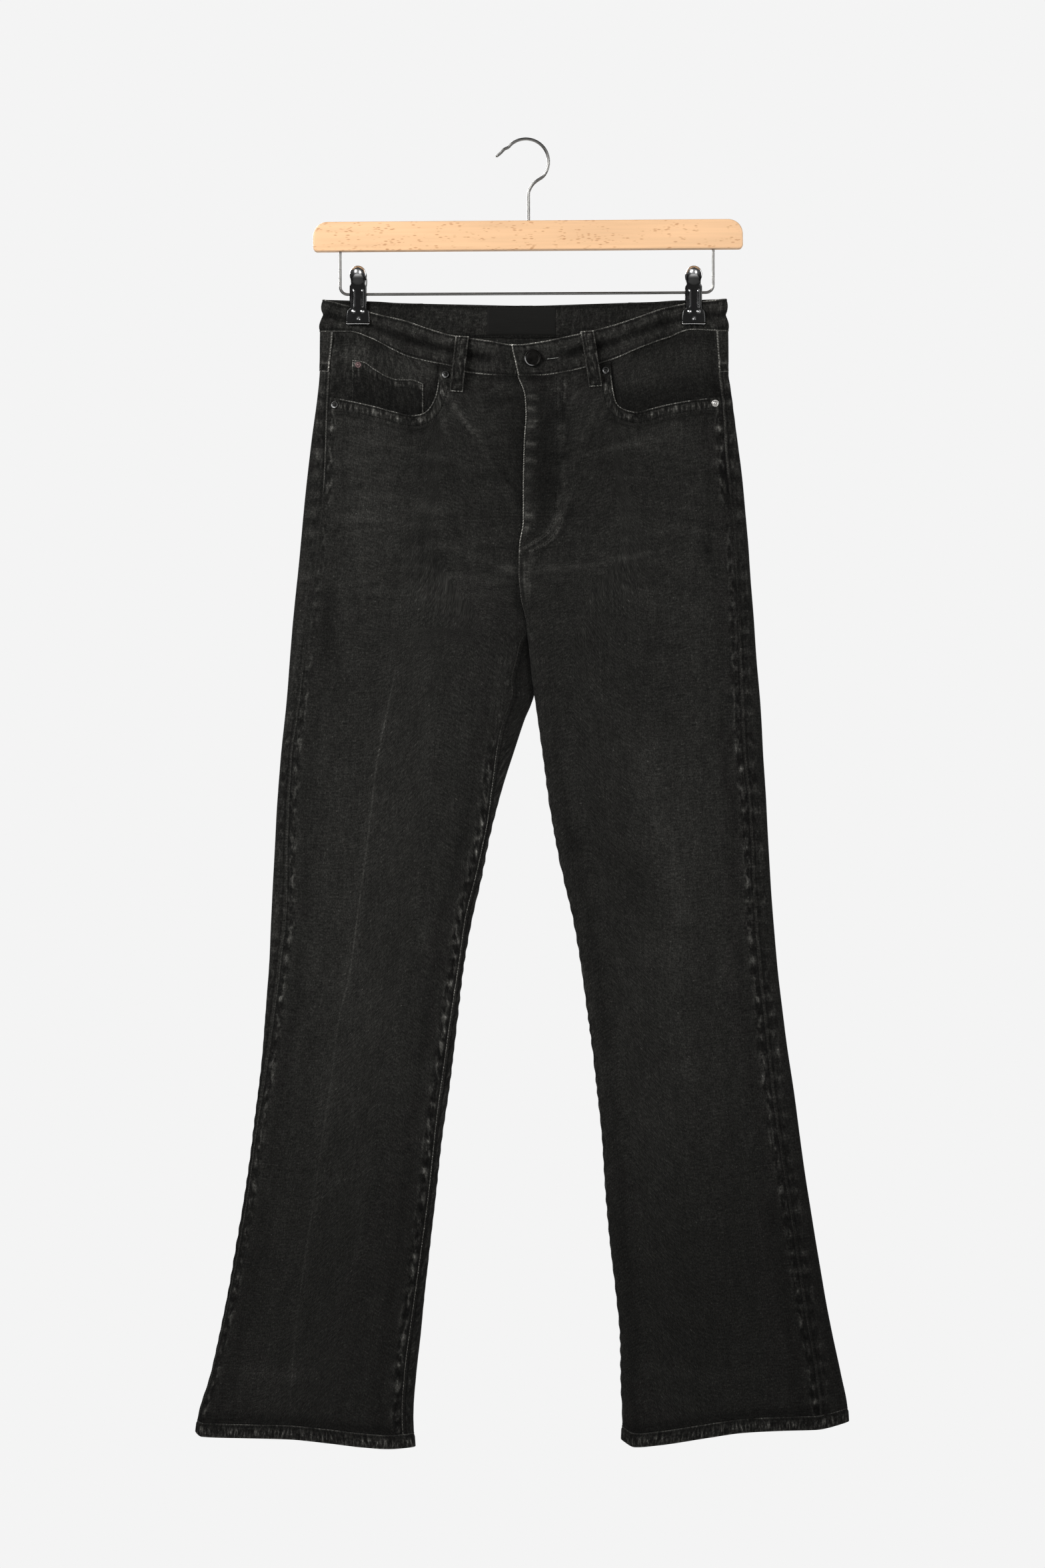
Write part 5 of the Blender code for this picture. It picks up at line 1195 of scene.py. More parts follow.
FLY_LAYERS = {
    "zip": {"left": -4.0, "right": 16.0, "top": -236.5, "bottom": -392.0, "depth": 2.0, "thick": 0.8},
    "shield": {"left": -9.0, "right": 34.0, "top": -236.5, "bottom": -402.0, "depth": 3.2,
               "thick": 1.0},
}


def behind_front(xs, heights, depth):
    """Points this deep behind the fronts' outer face, found from x and height."""
    x, y = hip_ring("left", front_angle(xs, heights), heights, depth)
    return placed(x, y + fold_depth(x, heights), heights)


def fly_layer(sizes, rows, columns):
    """A strip behind the fly, laid along the fly line inside both fronts."""
    offsets = np.linspace(sizes["left"], sizes["right"], columns)[None, :]
    heights = np.linspace(sizes["top"], sizes["bottom"], rows)[:, None] + 0 * offsets
    return Cloth(*(behind_front(FLY_LINE("x", heights) + offsets, heights, depth)
                   for depth in (sizes["depth"], sizes["depth"] + sizes["thick"])))


def blocks(centres, axes, sizes):
    """Small boxes as one mesh: centres, three axes each, and the half sizes along them."""
    corner = np.array([(i, j, k) for i in (-1, 1) for j in (-1, 1) for k in (-1, 1)], float)
    local = corner * sizes
    points = centres[:, None, :] + np.einsum("ck,nkd->ncd", local, axes)
    template = np.array([(0, 1, 3, 2), (4, 6, 7, 5), (0, 4, 5, 1), (2, 3, 7, 6), (0, 2, 6, 4),
                         (1, 5, 7, 3)])
    faces = template[None] + 8 * np.arange(len(centres))[:, None, None]
    return points.reshape(-1, 3), faces.reshape(-1, 4)


def make_zip(tape_finish, metal):
    """The zip's tape, and its teeth as two rows that interlock."""
    sizes = FLY_LAYERS["zip"]
    tape = fly_layer(sizes, 60, 10).make("zip_tape", ["zip"], tape_finish, slot="label")
    heights = np.arange(sizes["top"] - 4, sizes["bottom"] + 6, -1.1)
    shift = np.where(np.arange(len(heights)) % 2 == 0, -1.3, 1.3)
    centres = behind_front(FLY_LINE("x", heights) + 6 + shift, heights, sizes["depth"] + 0.9)
    axes = np.broadcast_to(np.eye(3), (len(heights), 3, 3))
    points, faces = blocks(centres, axes, np.array([2.1, 0.5, 0.42]))
    make_piece("zip_teeth", points, faces, metal, (), "dark_metal", sharp=30)
    return tape


def resampled(path, out, pitch):
    """The path and its outward directions at even steps near this pitch."""
    length = lengths_along(path, 0)
    count = max(int(length[-1] / pitch), 1)
    places = np.linspace(0, length[-1], count + 1)
    pick = lambda values: np.stack([np.interp(places, length, values[:, k]) for k in range(3)], -1)
    return pick(path), unit(pick(out))


def stitch_mesh(rows):
    """Stitches as small bowed capsules: four rings of four corners from one needle hole to the next.

    A ring at share t lies on the line between the holes, raised by sin(pi t) less a little, and its
    radius is the thread's times the root of that sine, with a least size at the ends.
    """
    sizes = bpy.context.scene.jeans_stitches
    pitch, thread = sizes.pitch / METRE, sizes.thread / METRE / 2
    stitches = []
    for path, out in rows:
        at, normal = resampled(path, out, pitch)
        step = at[1:] - at[:-1]
        stitches.append((at[:-1] + step * 0.1, at[1:] - step * 0.1, normal[:-1]))
    start, end, out = (np.concatenate(part) for part in zip(*stitches))
    side = unit(np.cross(unit(end - start), out))
    share = np.array([0.0, 0.3, 0.7, 1.0])
    rise = np.sin(np.pi * share) * 0.42 - 0.12
    radius = thread * np.maximum(np.sqrt(np.sin(np.pi * share)), 0.45)
    turn_at = (np.arange(4) * np.pi / 2 + np.pi / 4)[:, None]
    centre = start[:, None] + (end - start)[:, None] * share[:, None] + out[:, None] * rise[:, None]
    ring = side[:, None, None] * np.cos(turn_at) + out[:, None, None] * np.sin(turn_at)
    points = centre[:, :, None] + ring * radius[:, None, None]
    template = np.array(capped(4, 4))
    faces = template[None] + 16 * np.arange(len(start))[:, None, None]
    return points.reshape(-1, 3), faces.reshape(-1, 4)


def make_stitches(name, rows, finish):
    points, faces = stitch_mesh(rows)
    return make_piece(name, points, faces, finish, (), "denim", sharp=0)


def bartack(centre, along, out, length, width):
    """Thread wound to and fro in a short bar: a zigzag path with its outward directions."""
    count = int(length / 0.42)
    share = np.linspace(-0.5, 0.5, count)
    side = unit(np.cross(along, out))
    swing = np.where(np.arange(count) % 2 == 0, -0.5, 0.5) * width
    path = centre + share[:, None] * length * along + swing[:, None] * side + out * 0.12
    return path, np.broadcast_to(out, path.shape)


# Height of the button's middle, and the direction in which the fronts face.
BUTTON_Z = -217.0
FRONTWARD = np.array([0.0, -1.0, 0.0])


def turned(profile, centre, normal, segments):
    """A turned piece: rows of radius and height above its seat, round an axis along the normal."""
    normal = unit(np.asarray(normal, float))
    side = unit(np.cross(normal, (0.0, 0.0, 1.0) if abs(normal[2]) < 0.9 else (1.0, 0.0, 0.0)))
    other = np.cross(normal, side)
    angle = np.linspace(0, 2 * np.pi, segments, endpoint=False)[None, :, None]
    radius, rise = np.array(profile, float).T
    ring = side * np.cos(angle) + other * np.sin(angle)
    points = np.asarray(centre) + ring * radius[:, None, None] + normal * rise[:, None, None]
    return points.reshape(-1, 3), capped(len(radius), segments)


def tube(path, radius, up, sides=16):
    """A round wire: rings square to a path, each set by the path's direction and an up direction."""
    path = np.asarray(path, float)
    along = unit(np.gradient(path, axis=0))
    side = unit(np.cross(along, up))
    rise = np.cross(side, along)
    angle = np.linspace(0, 2 * np.pi, sides, endpoint=False)[None, :, None]
    radius = np.broadcast_to(radius, len(path))[:, None, None]
    points = path[:, None] + (side[:, None] * np.cos(angle) + rise[:, None] * np.sin(angle)) * radius
    return points.reshape(-1, 3), capped(len(path), sides)


def fine_route(route, step):
    """A rounded route through the points: a Catmull-Rom curve in even steps."""
    route = np.asarray(route, float)
    padded = np.concatenate([2 * route[:1] - route[1:2], route, 2 * route[-1:] - route[-2:-1]])
    pieces = []
    for first in range(len(route) - 1):
        a, b, c, d = padded[first : first + 4]
        count = max(int(np.linalg.norm(c - b) / step), 1)
        t = np.linspace(0, 1, count, endpoint=False)[:, None]
        pieces.append(0.5 * (2 * b + (c - a) * t + (2 * a - 5 * b + 4 * c - d) * t**2
                             + (3 * b - a - 3 * c + d) * t**3))
    return np.concatenate([*pieces, route[-1:]])


def joined(parts):
    """Several (points, faces) pairs as one."""
    points, faces, count = [], [], 0
    for part_points, part_faces in parts:
        part_faces = turned_outward(part_points, [list(face) for face in part_faces])
        faces += [[corner + count for corner in face] for face in part_faces]
        points.append(part_points)
        count += len(part_points)
    return np.concatenate(points), faces


BAR = {"length": 425.0, "height": 29.0, "thick": 13.0, "x": -1.2, "z": -94.4, "top_radius": 16.0,
       "low_radius": 4.0, "tilt": math.radians(0.4), "bevel": 1.4}
HOOK = {"wire": 1.5, "radius": 22.5, "x": -3.3, "stem_x": -0.6, "from": -42.0, "to": 142.0, "steps": 14}
HOOK_KINK = ((-0.6, -65), (-0.6, -53), (0.3, -49), (3, -44.2), (7, -40.4))
HOOK_TIP = ((-24.5, -8.6), (-28.5, -12.6), (-33.3, -16.4))
RAIL = {"wire": 1.4, "left": -187.0, "right": 182.2, "z_left": -152.6, "z_right": -150.6, "bend": 7.5}


def bar_outline(inset, steps=12):
    """The bar's outline from the front, moved in: round upper ends, small lower corners."""
    half, rise = BAR["length"] / 2 - inset, BAR["height"] / 2 - inset
    corners = ((half, rise, BAR["top_radius"], 0), (-half, rise, BAR["top_radius"], 90),
               (-half, -rise, BAR["low_radius"], 180), (half, -rise, BAR["low_radius"], 270))
    lines = []
    for x, z, radius, start in corners:
        radius = max(min(radius, BAR["height"] / 2) - inset, 0.3)
        angle = np.radians(start + np.linspace(0, 90, steps))
        lines.append(np.stack([x - math.copysign(radius, x) + radius * np.cos(angle),
                               z - math.copysign(radius, z) + radius * np.sin(angle)], axis=-1))
    x, z = np.concatenate(lines).T
    cos, sin = math.cos(BAR["tilt"]), math.sin(BAR["tilt"])
    return np.stack([BAR["x"] + x * cos - z * sin, BAR["z"] + x * sin + z * cos], axis=-1)


def make_bar(finish):
    """The beech bar: its outline carried across the thickness, with round edges."""
    half, bevel = BAR["thick"] / 2, BAR["bevel"]
    turns = np.linspace(0, np.pi / 2, 6)
    rings = [(bevel * (1 - np.sin(a)), -half + bevel * (1 - np.cos(a))) for a in turns]
    rings += [(inset, -y) for inset, y in rings[::-1]]
    grid = np.array([placed(flat[:, 0], y, flat[:, 1])
                     for flat, y in ((bar_outline(inset), y) for inset, y in rings)])
    return make_piece("beech_bar", grid, capped(*grid.shape[:2]), finish, ["hanger_bar"], "beech", sharp=0)


def rail_height(x):
    share = (x - RAIL["left"]) / (RAIL["right"] - RAIL["left"])
    return RAIL["z_left"] + (RAIL["z_right"] - RAIL["z_left"]) * share


def flat_route(x, z, step):
    """A rounded route through points that lie in the middle plane."""
    return fine_route(placed(x, 0, z), step)


def make_wires(finish):
    """The hook with its kinked stem and rounded tip, and the wire below the bar."""
    angle = np.radians(np.linspace(HOOK["from"], HOOK["to"], HOOK["steps"] + 1))
    radius, centre_z = HOOK["radius"], HOOK["wire"] - HOOK["radius"]
    arc = np.stack([HOOK["x"] + radius * np.cos(angle), centre_z + radius * np.sin(angle)], -1)
    stem = (HOOK["stem_x"], BAR["z"] + BAR["height"] / 2 + 0.1)
    route = flat_route(*np.array([stem, *HOOK_KINK, *arc, *HOOK_TIP]).T, 1.5)
    away = np.linalg.norm(route - route[-1], axis=1) / HOOK["wire"]
    radius = HOOK["wire"] * np.sqrt(np.clip(1 - (1 - np.clip(away, 0, 1)) ** 2, 0.04, 1))
    make_piece("steel_hook", *tube(route, radius, -FRONTWARD), finish, ["hanger_hook"], "chrome")
    left, right, bend = RAIL["left"], RAIL["right"], RAIL["bend"]
    low = BAR["z"] - BAR["height"] / 2 - 0.1
    turns = np.radians(np.linspace(0, 90, 8))
    across, down = bend * np.cos(turns), bend * np.sin(turns)
    x = np.concatenate([[left], left + bend - across, right - bend + down, [right]])
    z = np.concatenate([[low + math.tan(BAR["tilt"]) * left], RAIL["z_left"] + bend - down,
                        RAIL["z_right"] + bend - across, [low + math.tan(BAR["tilt"]) * right]])
    make_piece("steel_rail", *tube(flat_route(x, z, 2), RAIL["wire"], -FRONTWARD), finish,
               ["hanger_wire"], "chrome")


JAW_FACE = PINCH_HALF + BAND_OUT + 0.3
CLIP_LEVER = Table("height, half, face, thick, crown", (
    (-183.2, 11.4, JAW_FACE, 1.9, 0), (-182, 12.2, JAW_FACE, 1.9, 0.3), (-177, 12.1, JAW_FACE, 1.9, 0.8),
    (-169.2, 11.2, JAW_FACE, 1.9, 0.9), (-166.5, 8.4, JAW_FACE + 0.2, 1.9, 0.8),
    (-156, 8.3, JAW_FACE + 0.4, 1.9, 0.7), (-145, 8.2, JAW_FACE + 1.4, 1.9, 0.9),
    (-142, 6.9, JAW_FACE + 2, 1.9, 1.4), (-139, 7, JAW_FACE + 2.7, 1.9, 3),
    (-136, 7.9, JAW_FACE + 3.3, 1.9, 4.6), (-133, 8.2, JAW_FACE + 3.8, 1.9, 5.4),
    (-129.5, 7.3, JAW_FACE + 4.2, 1.9, 4.6), (-127, 5.3, JAW_FACE + 4.4, 1.7, 2.8),
    (-125.6, 3.2, JAW_FACE + 4.5, 1.4, 1.2), (-125, 1.4, JAW_FACE + 4.5, 1.2, 0.2),
))
CLIP_RIB_X = 4.3

# Heights of a lever's small shapes: its bosses, its dimple and the lip along its jaw's lower edge.
BOSS_Z, DIMPLE_Z, LIP_Z = -170.0, -177.2, -182.0


def make_lever(side, face, finish):
    """A pressed clip lever: two raised ribs, two bosses, a dimple and a turned-up lip on its jaw."""
    outward = -1.0 if face == "front" else 1.0
    across = (gathered(44, 0.35) * 2 - 1)[None, :]
    height = np.concatenate([np.linspace(-183.2, -181.4, 8), np.linspace(-181, -127, 92),
                             np.linspace(-126.7, -125, 9)])[:, None]
    half = CLIP_LEVER("half", height)
    x = half * across
    from_side = 1 - np.abs(across)
    around = lambda middle, z, width: bell(np.hypot(x - middle, height - z), width)
    inner_y = CLIP_LEVER("face", height) + 0 * x
    rise = CLIP_LEVER("thick", height) + CLIP_LEVER("crown", height) * (1 - across**2)
    body = ease((height + 166.5) / 2) * ease((-147.5 - height) / 3)
    ribs, bosses = 0, 0
    for middle in (-CLIP_RIB_X, CLIP_RIB_X):
        rise = rise + bell(x - middle, 0.8) * body + 0.9 * around(middle, BOSS_Z, 1.35)
        ribs = ribs + bell(x - middle, 0.5) * body
        bosses = bosses + around(middle, BOSS_Z, 1.1)
    rise = rise - 0.8 * around(0.6, DIMPLE_Z, 1.5) + 1.3 * bell(height - LIP_Z, 0.8)
    rise = rise - 0.9 * ease(1 - from_side / 0.09)
    walls = [placed(CLIP_X[side] + x, outward * y, height) for y in (inner_y + rise, inner_y)]
    points = np.concatenate([wall.reshape(-1, 3) for wall in walls])
    # Painted highlights and reflection: the head made bright as chrome that catches the light, and bright
    # lines on the ribs, bosses, dimple, lip and sides.
    lip = bell(height - LIP_Z + 0.3, 0.55) * ease(from_side / 0.1)
    rim = bell(from_side * half - 0.5, 0.35) * ease((-169 - height) / 2)
    shine = (ease((height + 137.5) / 5) + 0.6 * ribs + 0.9 * bosses
             + 0.8 * around(0.6, DIMPLE_Z + 0.8, 1) + 0.9 * lip + 0.4 * rim)
    shine = np.concatenate([np.clip(shine, 0, 1).ravel(), (0 * shine).ravel()])
    return make_piece(f"clip_lever_{side}_{face}", points, shell_quads(*x.shape), finish,
                      [f"clip_{side}_{face}"], "dark_metal", {"shine": shine}, sharp=50)


COIL_TURNS, COIL_RADIUS, COIL_HALF = 5, 2.45, 5.4


def make_spring(side, finish):
    """The clip's spring: five turns round the wire, and a leg up behind each lever's head."""
    toward = INWARD[side]
    middle_x, middle_z = CLIP_X[side], float(rail_height(CLIP_X[side]))
    angle = np.linspace(0, 2 * np.pi * COIL_TURNS, 140) + np.pi / 2
    x = middle_x + np.linspace(-COIL_HALF, COIL_HALF, angle.size)
    coil = placed(x, COIL_RADIUS * np.cos(angle), middle_z + COIL_RADIUS * np.sin(angle))
    parts = [tube(coil, 0.62, unit(coil - placed(x, 0, middle_z)), 8)]
    for outward in (-1, 1):
        x0 = middle_x - outward * COIL_HALF
        near = outward < 0
        leg = fine_route([(x0 + aside, outward * y, middle_z + up) for aside, y, up in (
            (0, 0, 2.5), (toward * 2, 2.4, 5), (toward * 3.2 * near, 4.2, 11),
            (toward * 2.4 * near, 5.4, 16), (3 * outward, 5.9, 18))], 1)
        parts.append(tube(leg, 0.55, np.array([0.0, 0.3, 0.9]), 8))
    return make_piece(f"clip_spring_{side}", *joined(parts), finish, [f"clip_{side}_spring"], "chrome")


BUTTON_PROFILE = ((3.6, 0), (3.6, 0.9), (4.4, 1.15), (7.2, 1.25), (7.9, 1.5), (8.35, 1.95), (8.5, 2.35),
                  (8.4, 2.8), (8, 3.15), (7.5, 3.3), (7.1, 3.25), (6.75, 2.95), (6.5, 2.7), (6.1, 2.7),
                  (5.7, 2.95), (5.2, 2.8), (4.7, 3), (4.2, 2.86), (3.6, 3.05), (3, 2.9), (2.4, 3.1),
                  (1.7, 2.96), (0.9, 3.1), (0.2, 3.1))
RIVET_PROFILE = ((3.75, 0), (3.8, 0.3), (3.6, 0.7), (3.2, 0.95), (2.8, 0.95), (2.45, 0.7), (2.15, 0.55),
                 (1.8, 0.7), (1.5, 1.1), (1.1, 1.35), (0.6, 1.45), (0.1, 1.48))
RIVETS = {
    "left_side": ("left", -192, -262.5, 0.85, "black"),
    "left_waist": ("left", -82.5, -233, 0.6, "black"),
    "right_waist": ("right", 75.5, -228.8, 0.6, "black"),
    "right_side": ("right", 183.5, -261, 0.85, "steel"),
    "coin": ("left", -169, -223, 0.35 - COIN_DEPTH, "copper"),
}


def painted_rim_highlight(points, centre, radius, width, ring, crescent):
    """A painted highlight on a black cap: a thin ring round its rim and a crescent along the lower left."""
    off = points - np.asarray(centre)
    away = np.linalg.norm(off, axis=1)
    below_left = (-off[:, 0] - off[:, 2]) / math.sqrt(2) / np.maximum(away, 0.1)
    return bell(away - radius, width) * (ring + crescent * ease((below_left - 0.45) / 0.4))


def make_rivets(finishes):
    for name, (side, x, z, rise, metal) in RIVETS.items():
        here, beside_it, above = (on_panel(side, "front", x + dx, z + dz)
                                  for dx, dz in ((0, 0), (3, 0), (0, 3)))
        normal = unit(np.cross(beside_it - here, above - here))
        size = 0.84 if name == "coin" else 1.0
        seat = here + normal * rise
        points, faces = turned([(radius * size, up) for radius, up in RIVET_PROFILE], seat, normal, 36)
        # Painted highlight on the black caps: a ring and crescent at the rim, and a faint spot in the
        # middle.
        shine = painted_rim_highlight(points, seat, 2.9 * size, 0.7, 0.05, 0.45)
        shine += 0.12 * bell(np.linalg.norm(points - here, axis=1), 1.4)
        make_piece("rivet_cap_" + name, points, faces, finishes[metal], ["rivet_" + name], "copper",
                   fields={"shine": shine * (metal == "black")}, sharp=0)


def make_button(finish):
    x, y = hip_point("front", 3.3, BUTTON_Z, -BAND_OUT - 0.8)
    points, faces = turned(BUTTON_PROFILE, (float(x), float(y) - 0.1, BUTTON_Z), FRONTWARD, 96)
    # Painted highlight: a crescent along the lower left of the button's rim.
    shine = painted_rim_highlight(points, (float(x), float(y) - 3.0, BUTTON_Z), 7.3, 0.35, 0.0, 0.5)
    return make_piece("shank_button", points, faces, finish, ["button"], "dark_metal",
                      fields={"shine": shine}, sharp=0)


class Graph:
    """A node tree, with short ways to add and join its nodes."""

    def __init__(self, tree):
        self.nodes, self.links = tree.nodes, tree.links

    def fill(self, node, inputs):
        for name, value in inputs.items():
            if isinstance(value, bpy.types.NodeSocket):
                self.links.new(value, node.inputs[name])
            else:
                node.inputs[name].default_value = value

    def add(self, kind, inputs=None, output=0, **settings):
        node = self.nodes.new("ShaderNode" + kind)
        for name, value in settings.items():
            setattr(node, name, value)
        self.fill(node, inputs or {})
        return node.outputs[output]

    def field(self, name):
        return self.add("Attribute", output="Fac", attribute_name=name)

    def math(self, operation, first, second=0.0):
        return self.add("Math", {0: first, 1: second}, operation=operation)

    def times(self, first, second):
        return self.math("MULTIPLY", first, second)

    def total(self, *values):
        result = values[0]
        for value in values[1:]:
            result = self.math("ADD", result, value)
        return result

    def noise(self, vector, stretch, detail=2.0, roughness=0.55):
        """Noise from 0 to 1 on coordinates stretched by so many cells to a metre."""
        stretched = self.add("Mapping", {"Vector": vector, "Scale": stretch})
        return self.add("TexNoise", {"Vector": stretched, "Scale": 1.0, "Detail": detail,
                                     "Roughness": roughness})

    def span(self, value, low, high, to_low=0.0, to_high=1.0):
        return self.add("MapRange", {"Value": value, "From Min": low, "From Max": high,
                                     "To Min": to_low, "To Max": to_high})

    def stops(self, noise, low, high):
        """The middle of a noise spread over so many stops."""
        return self.span(noise, 0.3, 0.7, low, high)

    def blend(self, share, first, second):
        return self.add("Mix", {0: share, 6: first, 7: second}, output=2, data_type="RGBA")


class Finish(Graph):
    """A material and its shader."""

    def __init__(self, name, colour, roughness, **sockets):
        self.material = bpy.data.materials.new(name)
        self.material.use_nodes = True
        super().__init__(self.material.node_tree)
        self.shader = self.nodes["Principled BSDF"]
        self.fill(self.shader, {"Base Color": (*colour, 1.0), "Roughness": roughness, **{
            key.replace("_", " ").title().replace("Ior", "IOR"): value for key, value in sockets.items()}})

    def paint(self, colour, *stops):
        """The colour made lighter or darker: times 2 to the power of the stops."""
        gain = self.math("POWER", 2.0, self.total(*stops))
        tint = self.add("VectorMath", {0: tuple(colour), "Scale": gain}, operation="SCALE")
        self.fill(self.shader, {"Base Color": tint})
        return tint

    def bump(self, height, strength, distance):
        normal = self.add("Bump", {"Height": height, "Strength": strength, "Distance": distance})
        self.fill(self.shader, {"Normal": normal})


STITCH_DOTS = 0.0028


def make_denim(name):
    """Washed twill: yarn flecks, streaks along the warp, a fine diagonal, and pale worn edges."""
    cloth = bpy.context.scene.jeans_cloth
    finish = Finish(name, cloth.colour, cloth.roughness, specular_ior_level=0.05, sheen_weight=0.03,
                    sheen_roughness=0.5)
    place = finish.add("UVMap", uv_map="cloth")
    noise = lambda across, along, *rest: finish.noise(place, (across, along, 1.0), *rest)

    def waves(direction, pitch):
        reach = finish.add("VectorMath", {0: place, 1: direction}, output="Value", operation="DOT_PRODUCT")
        return finish.math("SINE", finish.times(reach, 2 * math.pi / pitch))

    fleck = noise(900.0, 420.0, 2.0, 0.7)
    streak = noise(420.0, 24.0)
    weft = noise(120.0, 620.0, 2.0, 0.6)
    patch = noise(55.0, 40.0, 3.0)
    diagonal = waves((1.0, 0.5, 0.0), cloth.twill_pitch)
    rope = noise(1100.0, 1100.0, 1.0)
    dots = waves((1.0, 1.0, 0.0), STITCH_DOTS)
    line = finish.math("SUBTRACT", finish.field("edge"), finish.stops(rope, -0.25, 0.25))
    line = finish.times(finish.span(line, 1.4, 0.6), finish.field("worn"))
    line = finish.times(line, finish.span(rope, 0.3, 0.75, 2.4, 4.0))
    line = finish.times(line, finish.span(dots, -1.0, 1.0, 0.7, 1.12))
    upright = finish.math("MAXIMUM", finish.field("rungs"), 0.0)
    level = finish.math("MAXIMUM", finish.times(finish.field("rungs"), -1.0), 0.0)
    rung = finish.times(finish.span(noise(430.0, 95.0), 0.45, 0.68, -0.5, 2.0), upright)
    ladder = finish.times(finish.span(noise(190.0, 85.0), 0.46, 0.62, -0.6, 1.7), level)
    broken = finish.span(noise(260.0, 90.0, 1.0), 0.35, 0.6, 0.3, 0.95)
    creased = []
    for number in range(2):
        off = finish.math("ABSOLUTE", finish.field(f"crease_{number}"))
        mark = finish.times(finish.span(off, 1.3, 0.4), finish.field(f"creased_{number}"))
        creased.append(finish.times(mark, broken))
    nep = finish.span(noise(520.0, 520.0, 0.0), 0.76, 0.84, 0.0, 1.3)
    scuffed = finish.times(finish.span(noise(330.0, 130.0), 0.35, 0.7, -0.8, 1.0), finish.field("scuff"))
    # The shade field brings wear and tone, and the painted shade laid in beside seams, in folds and in
    # recesses.
    finish.paint(cloth.colour, finish.field("shade"), finish.stops(fleck, -1.05, 0.92),
                 finish.stops(streak, -0.2, 0.18), finish.stops(patch, -0.15, 0.15),
                 finish.stops(weft, -0.45, 0.42), finish.times(diagonal, 0.12), line, scuffed, rung,
                 ladder, *creased, nep)
    finish.bump(finish.total(finish.times(fleck, 0.9), finish.times(diagonal, 0.25)), 0.55, 0.00035)
    return finish.material


# Yarns and ribbons: colour, roughness, specular level, how strong their relief is, then noises by
# their cells to a metre, with how many stops darker and lighter each makes it.
YARNS = {
    "black thread": ((0.0055, 0.0055, 0.005), 0.7, 0.08, 0.4, ((1800, 1800, 1800), -0.5, 0.9)),
    "black satin": ((0.0065, 0.0063, 0.0057), 0.6, 0.08, 0.3, ((60, 60, 2600), -0.15, 0.15),
                    ((1500, 1500, 1500), -0.12, 0.12)),
    "grey thread": ((0.2, 0.2, 0.19), 0.7, 0.2, 0, ((900, 900, 900), -1.2, 0.8)),
}


def make_yarn(name):
    """Thread, or satin ribbon finely ribbed across."""
    colour, roughness, specular, relief, *noises = YARNS[name]
    finish = Finish(name, colour, roughness, specular_ior_level=specular)
    place = finish.add("TexCoord", output="Object")
    fibres = [finish.noise(place, cells, 1.0) for cells, _, _ in noises]
    finish.paint(colour, *(finish.stops(fibre, low, high) for fibre, (_, low, high) in zip(fibres, noises)))
    if relief:
        finish.bump(fibres[0], relief, 0.0002)
    return finish.material


def make_beech(name):
    """Varnished beech: pale grain along the bar and short dark flecks set aslant."""
    hanger = bpy.context.scene.jeans_hanger
    finish = Finish(name, hanger.wood, 0.38, specular_ior_level=0.4, coat_weight=0.15, coat_roughness=0.25)
    place = finish.add("TexCoord", output="Object")
    grain = finish.noise(place, (9.0, 160.0, 260.0), 3.0)
    broad = finish.noise(place, (6.0, 30.0, 30.0), 2.0)
    slant = finish.add("Mapping", {"Vector": place, "Rotation": (0.0, math.radians(24), 0.0),
                                   "Scale": (170.0, 300.0, 620.0)})
    fleck = finish.add("TexVoronoi", {"Vector": slant, "Scale": 1.0, "Randomness": 1.0},
                       output="Distance")
    chance = finish.noise(place, (95.0, 95.0, 170.0), 1.0)
    mark = finish.times(finish.span(fleck, 0.42, 0.2), finish.span(chance, 0.5, 0.62))
    wood = finish.paint(hanger.wood, finish.stops(grain, -0.1, 0.08), finish.stops(broad, -0.06, 0.06))
    flecked = finish.blend(finish.times(mark, 0.75), wood, (*hanger.fleck, 1.0))
    finish.fill(finish.shader, {"Base Color": flecked})
    finish.bump(grain, 0.12, 0.0003)
    return finish.material


# The bright colour towards which a field of painted highlight blends a metal's colour.
PAINTED_HIGHLIGHT = (0.75, 0.75, 0.75, 1.0)


def make_metal(name, colour, roughness, uneven, field=None):
    """Polished metal with fine scratches and smudges that change its gloss a little."""
    finish = Finish(name, colour, roughness, metallic=1.0)
    place = finish.add("TexCoord", output="Object")
    smudge = finish.noise(place, (180.0, 180.0, 180.0), 3.0)
    scratch = finish.noise(place, (2600.0, 2600.0, 300.0), 1.0)
    gloss = finish.total(finish.stops(smudge, roughness * (1 - uneven), roughness * (1 + uneven)),
                         finish.span(scratch, 0.45, 0.75, 0.0, 0.05 * uneven))
    # With a field, the colour blends towards a bright colour where that field paints a highlight.
    if field:
        shine = finish.blend(finish.field(field), (*colour, 1.0), PAINTED_HIGHLIGHT)
    else:
        darker = (*(0.82 * part for part in colour), 1.0)
        shine = finish.blend(finish.span(smudge, 0.35, 0.65), (*colour, 1.0), darker)
    finish.fill(finish.shader, {"Base Color": shine, "Roughness": gloss})
    return finish.material


def finish_named(name, make, *values):
    """The finish of this name, made once."""
    return bpy.data.materials.get(name) or make(name, *values)


def denim():
    return finish_named("washed black denim", make_denim)


def thread():
    return finish_named("black thread", make_yarn)


def steel():
    return finish_named("chromed steel", make_metal, (0.24, 0.235, 0.225), 0.3, 0.3)


def black_satin():
    return finish_named("black satin", make_yarn)


made = {}


def colour_setting(name, description, default):
    return bpy.props.FloatVectorProperty(name=name, description=description, default=default, size=3,
                                         subtype="COLOR", min=0.0, max=1.0)


def number_setting(name, description, default, **rest):
    return bpy.props.FloatProperty(name=name, description=description, default=default, **rest)


def length_setting(name, description, default):
    return number_setting(name, description, default, unit="LENGTH", precision=5)


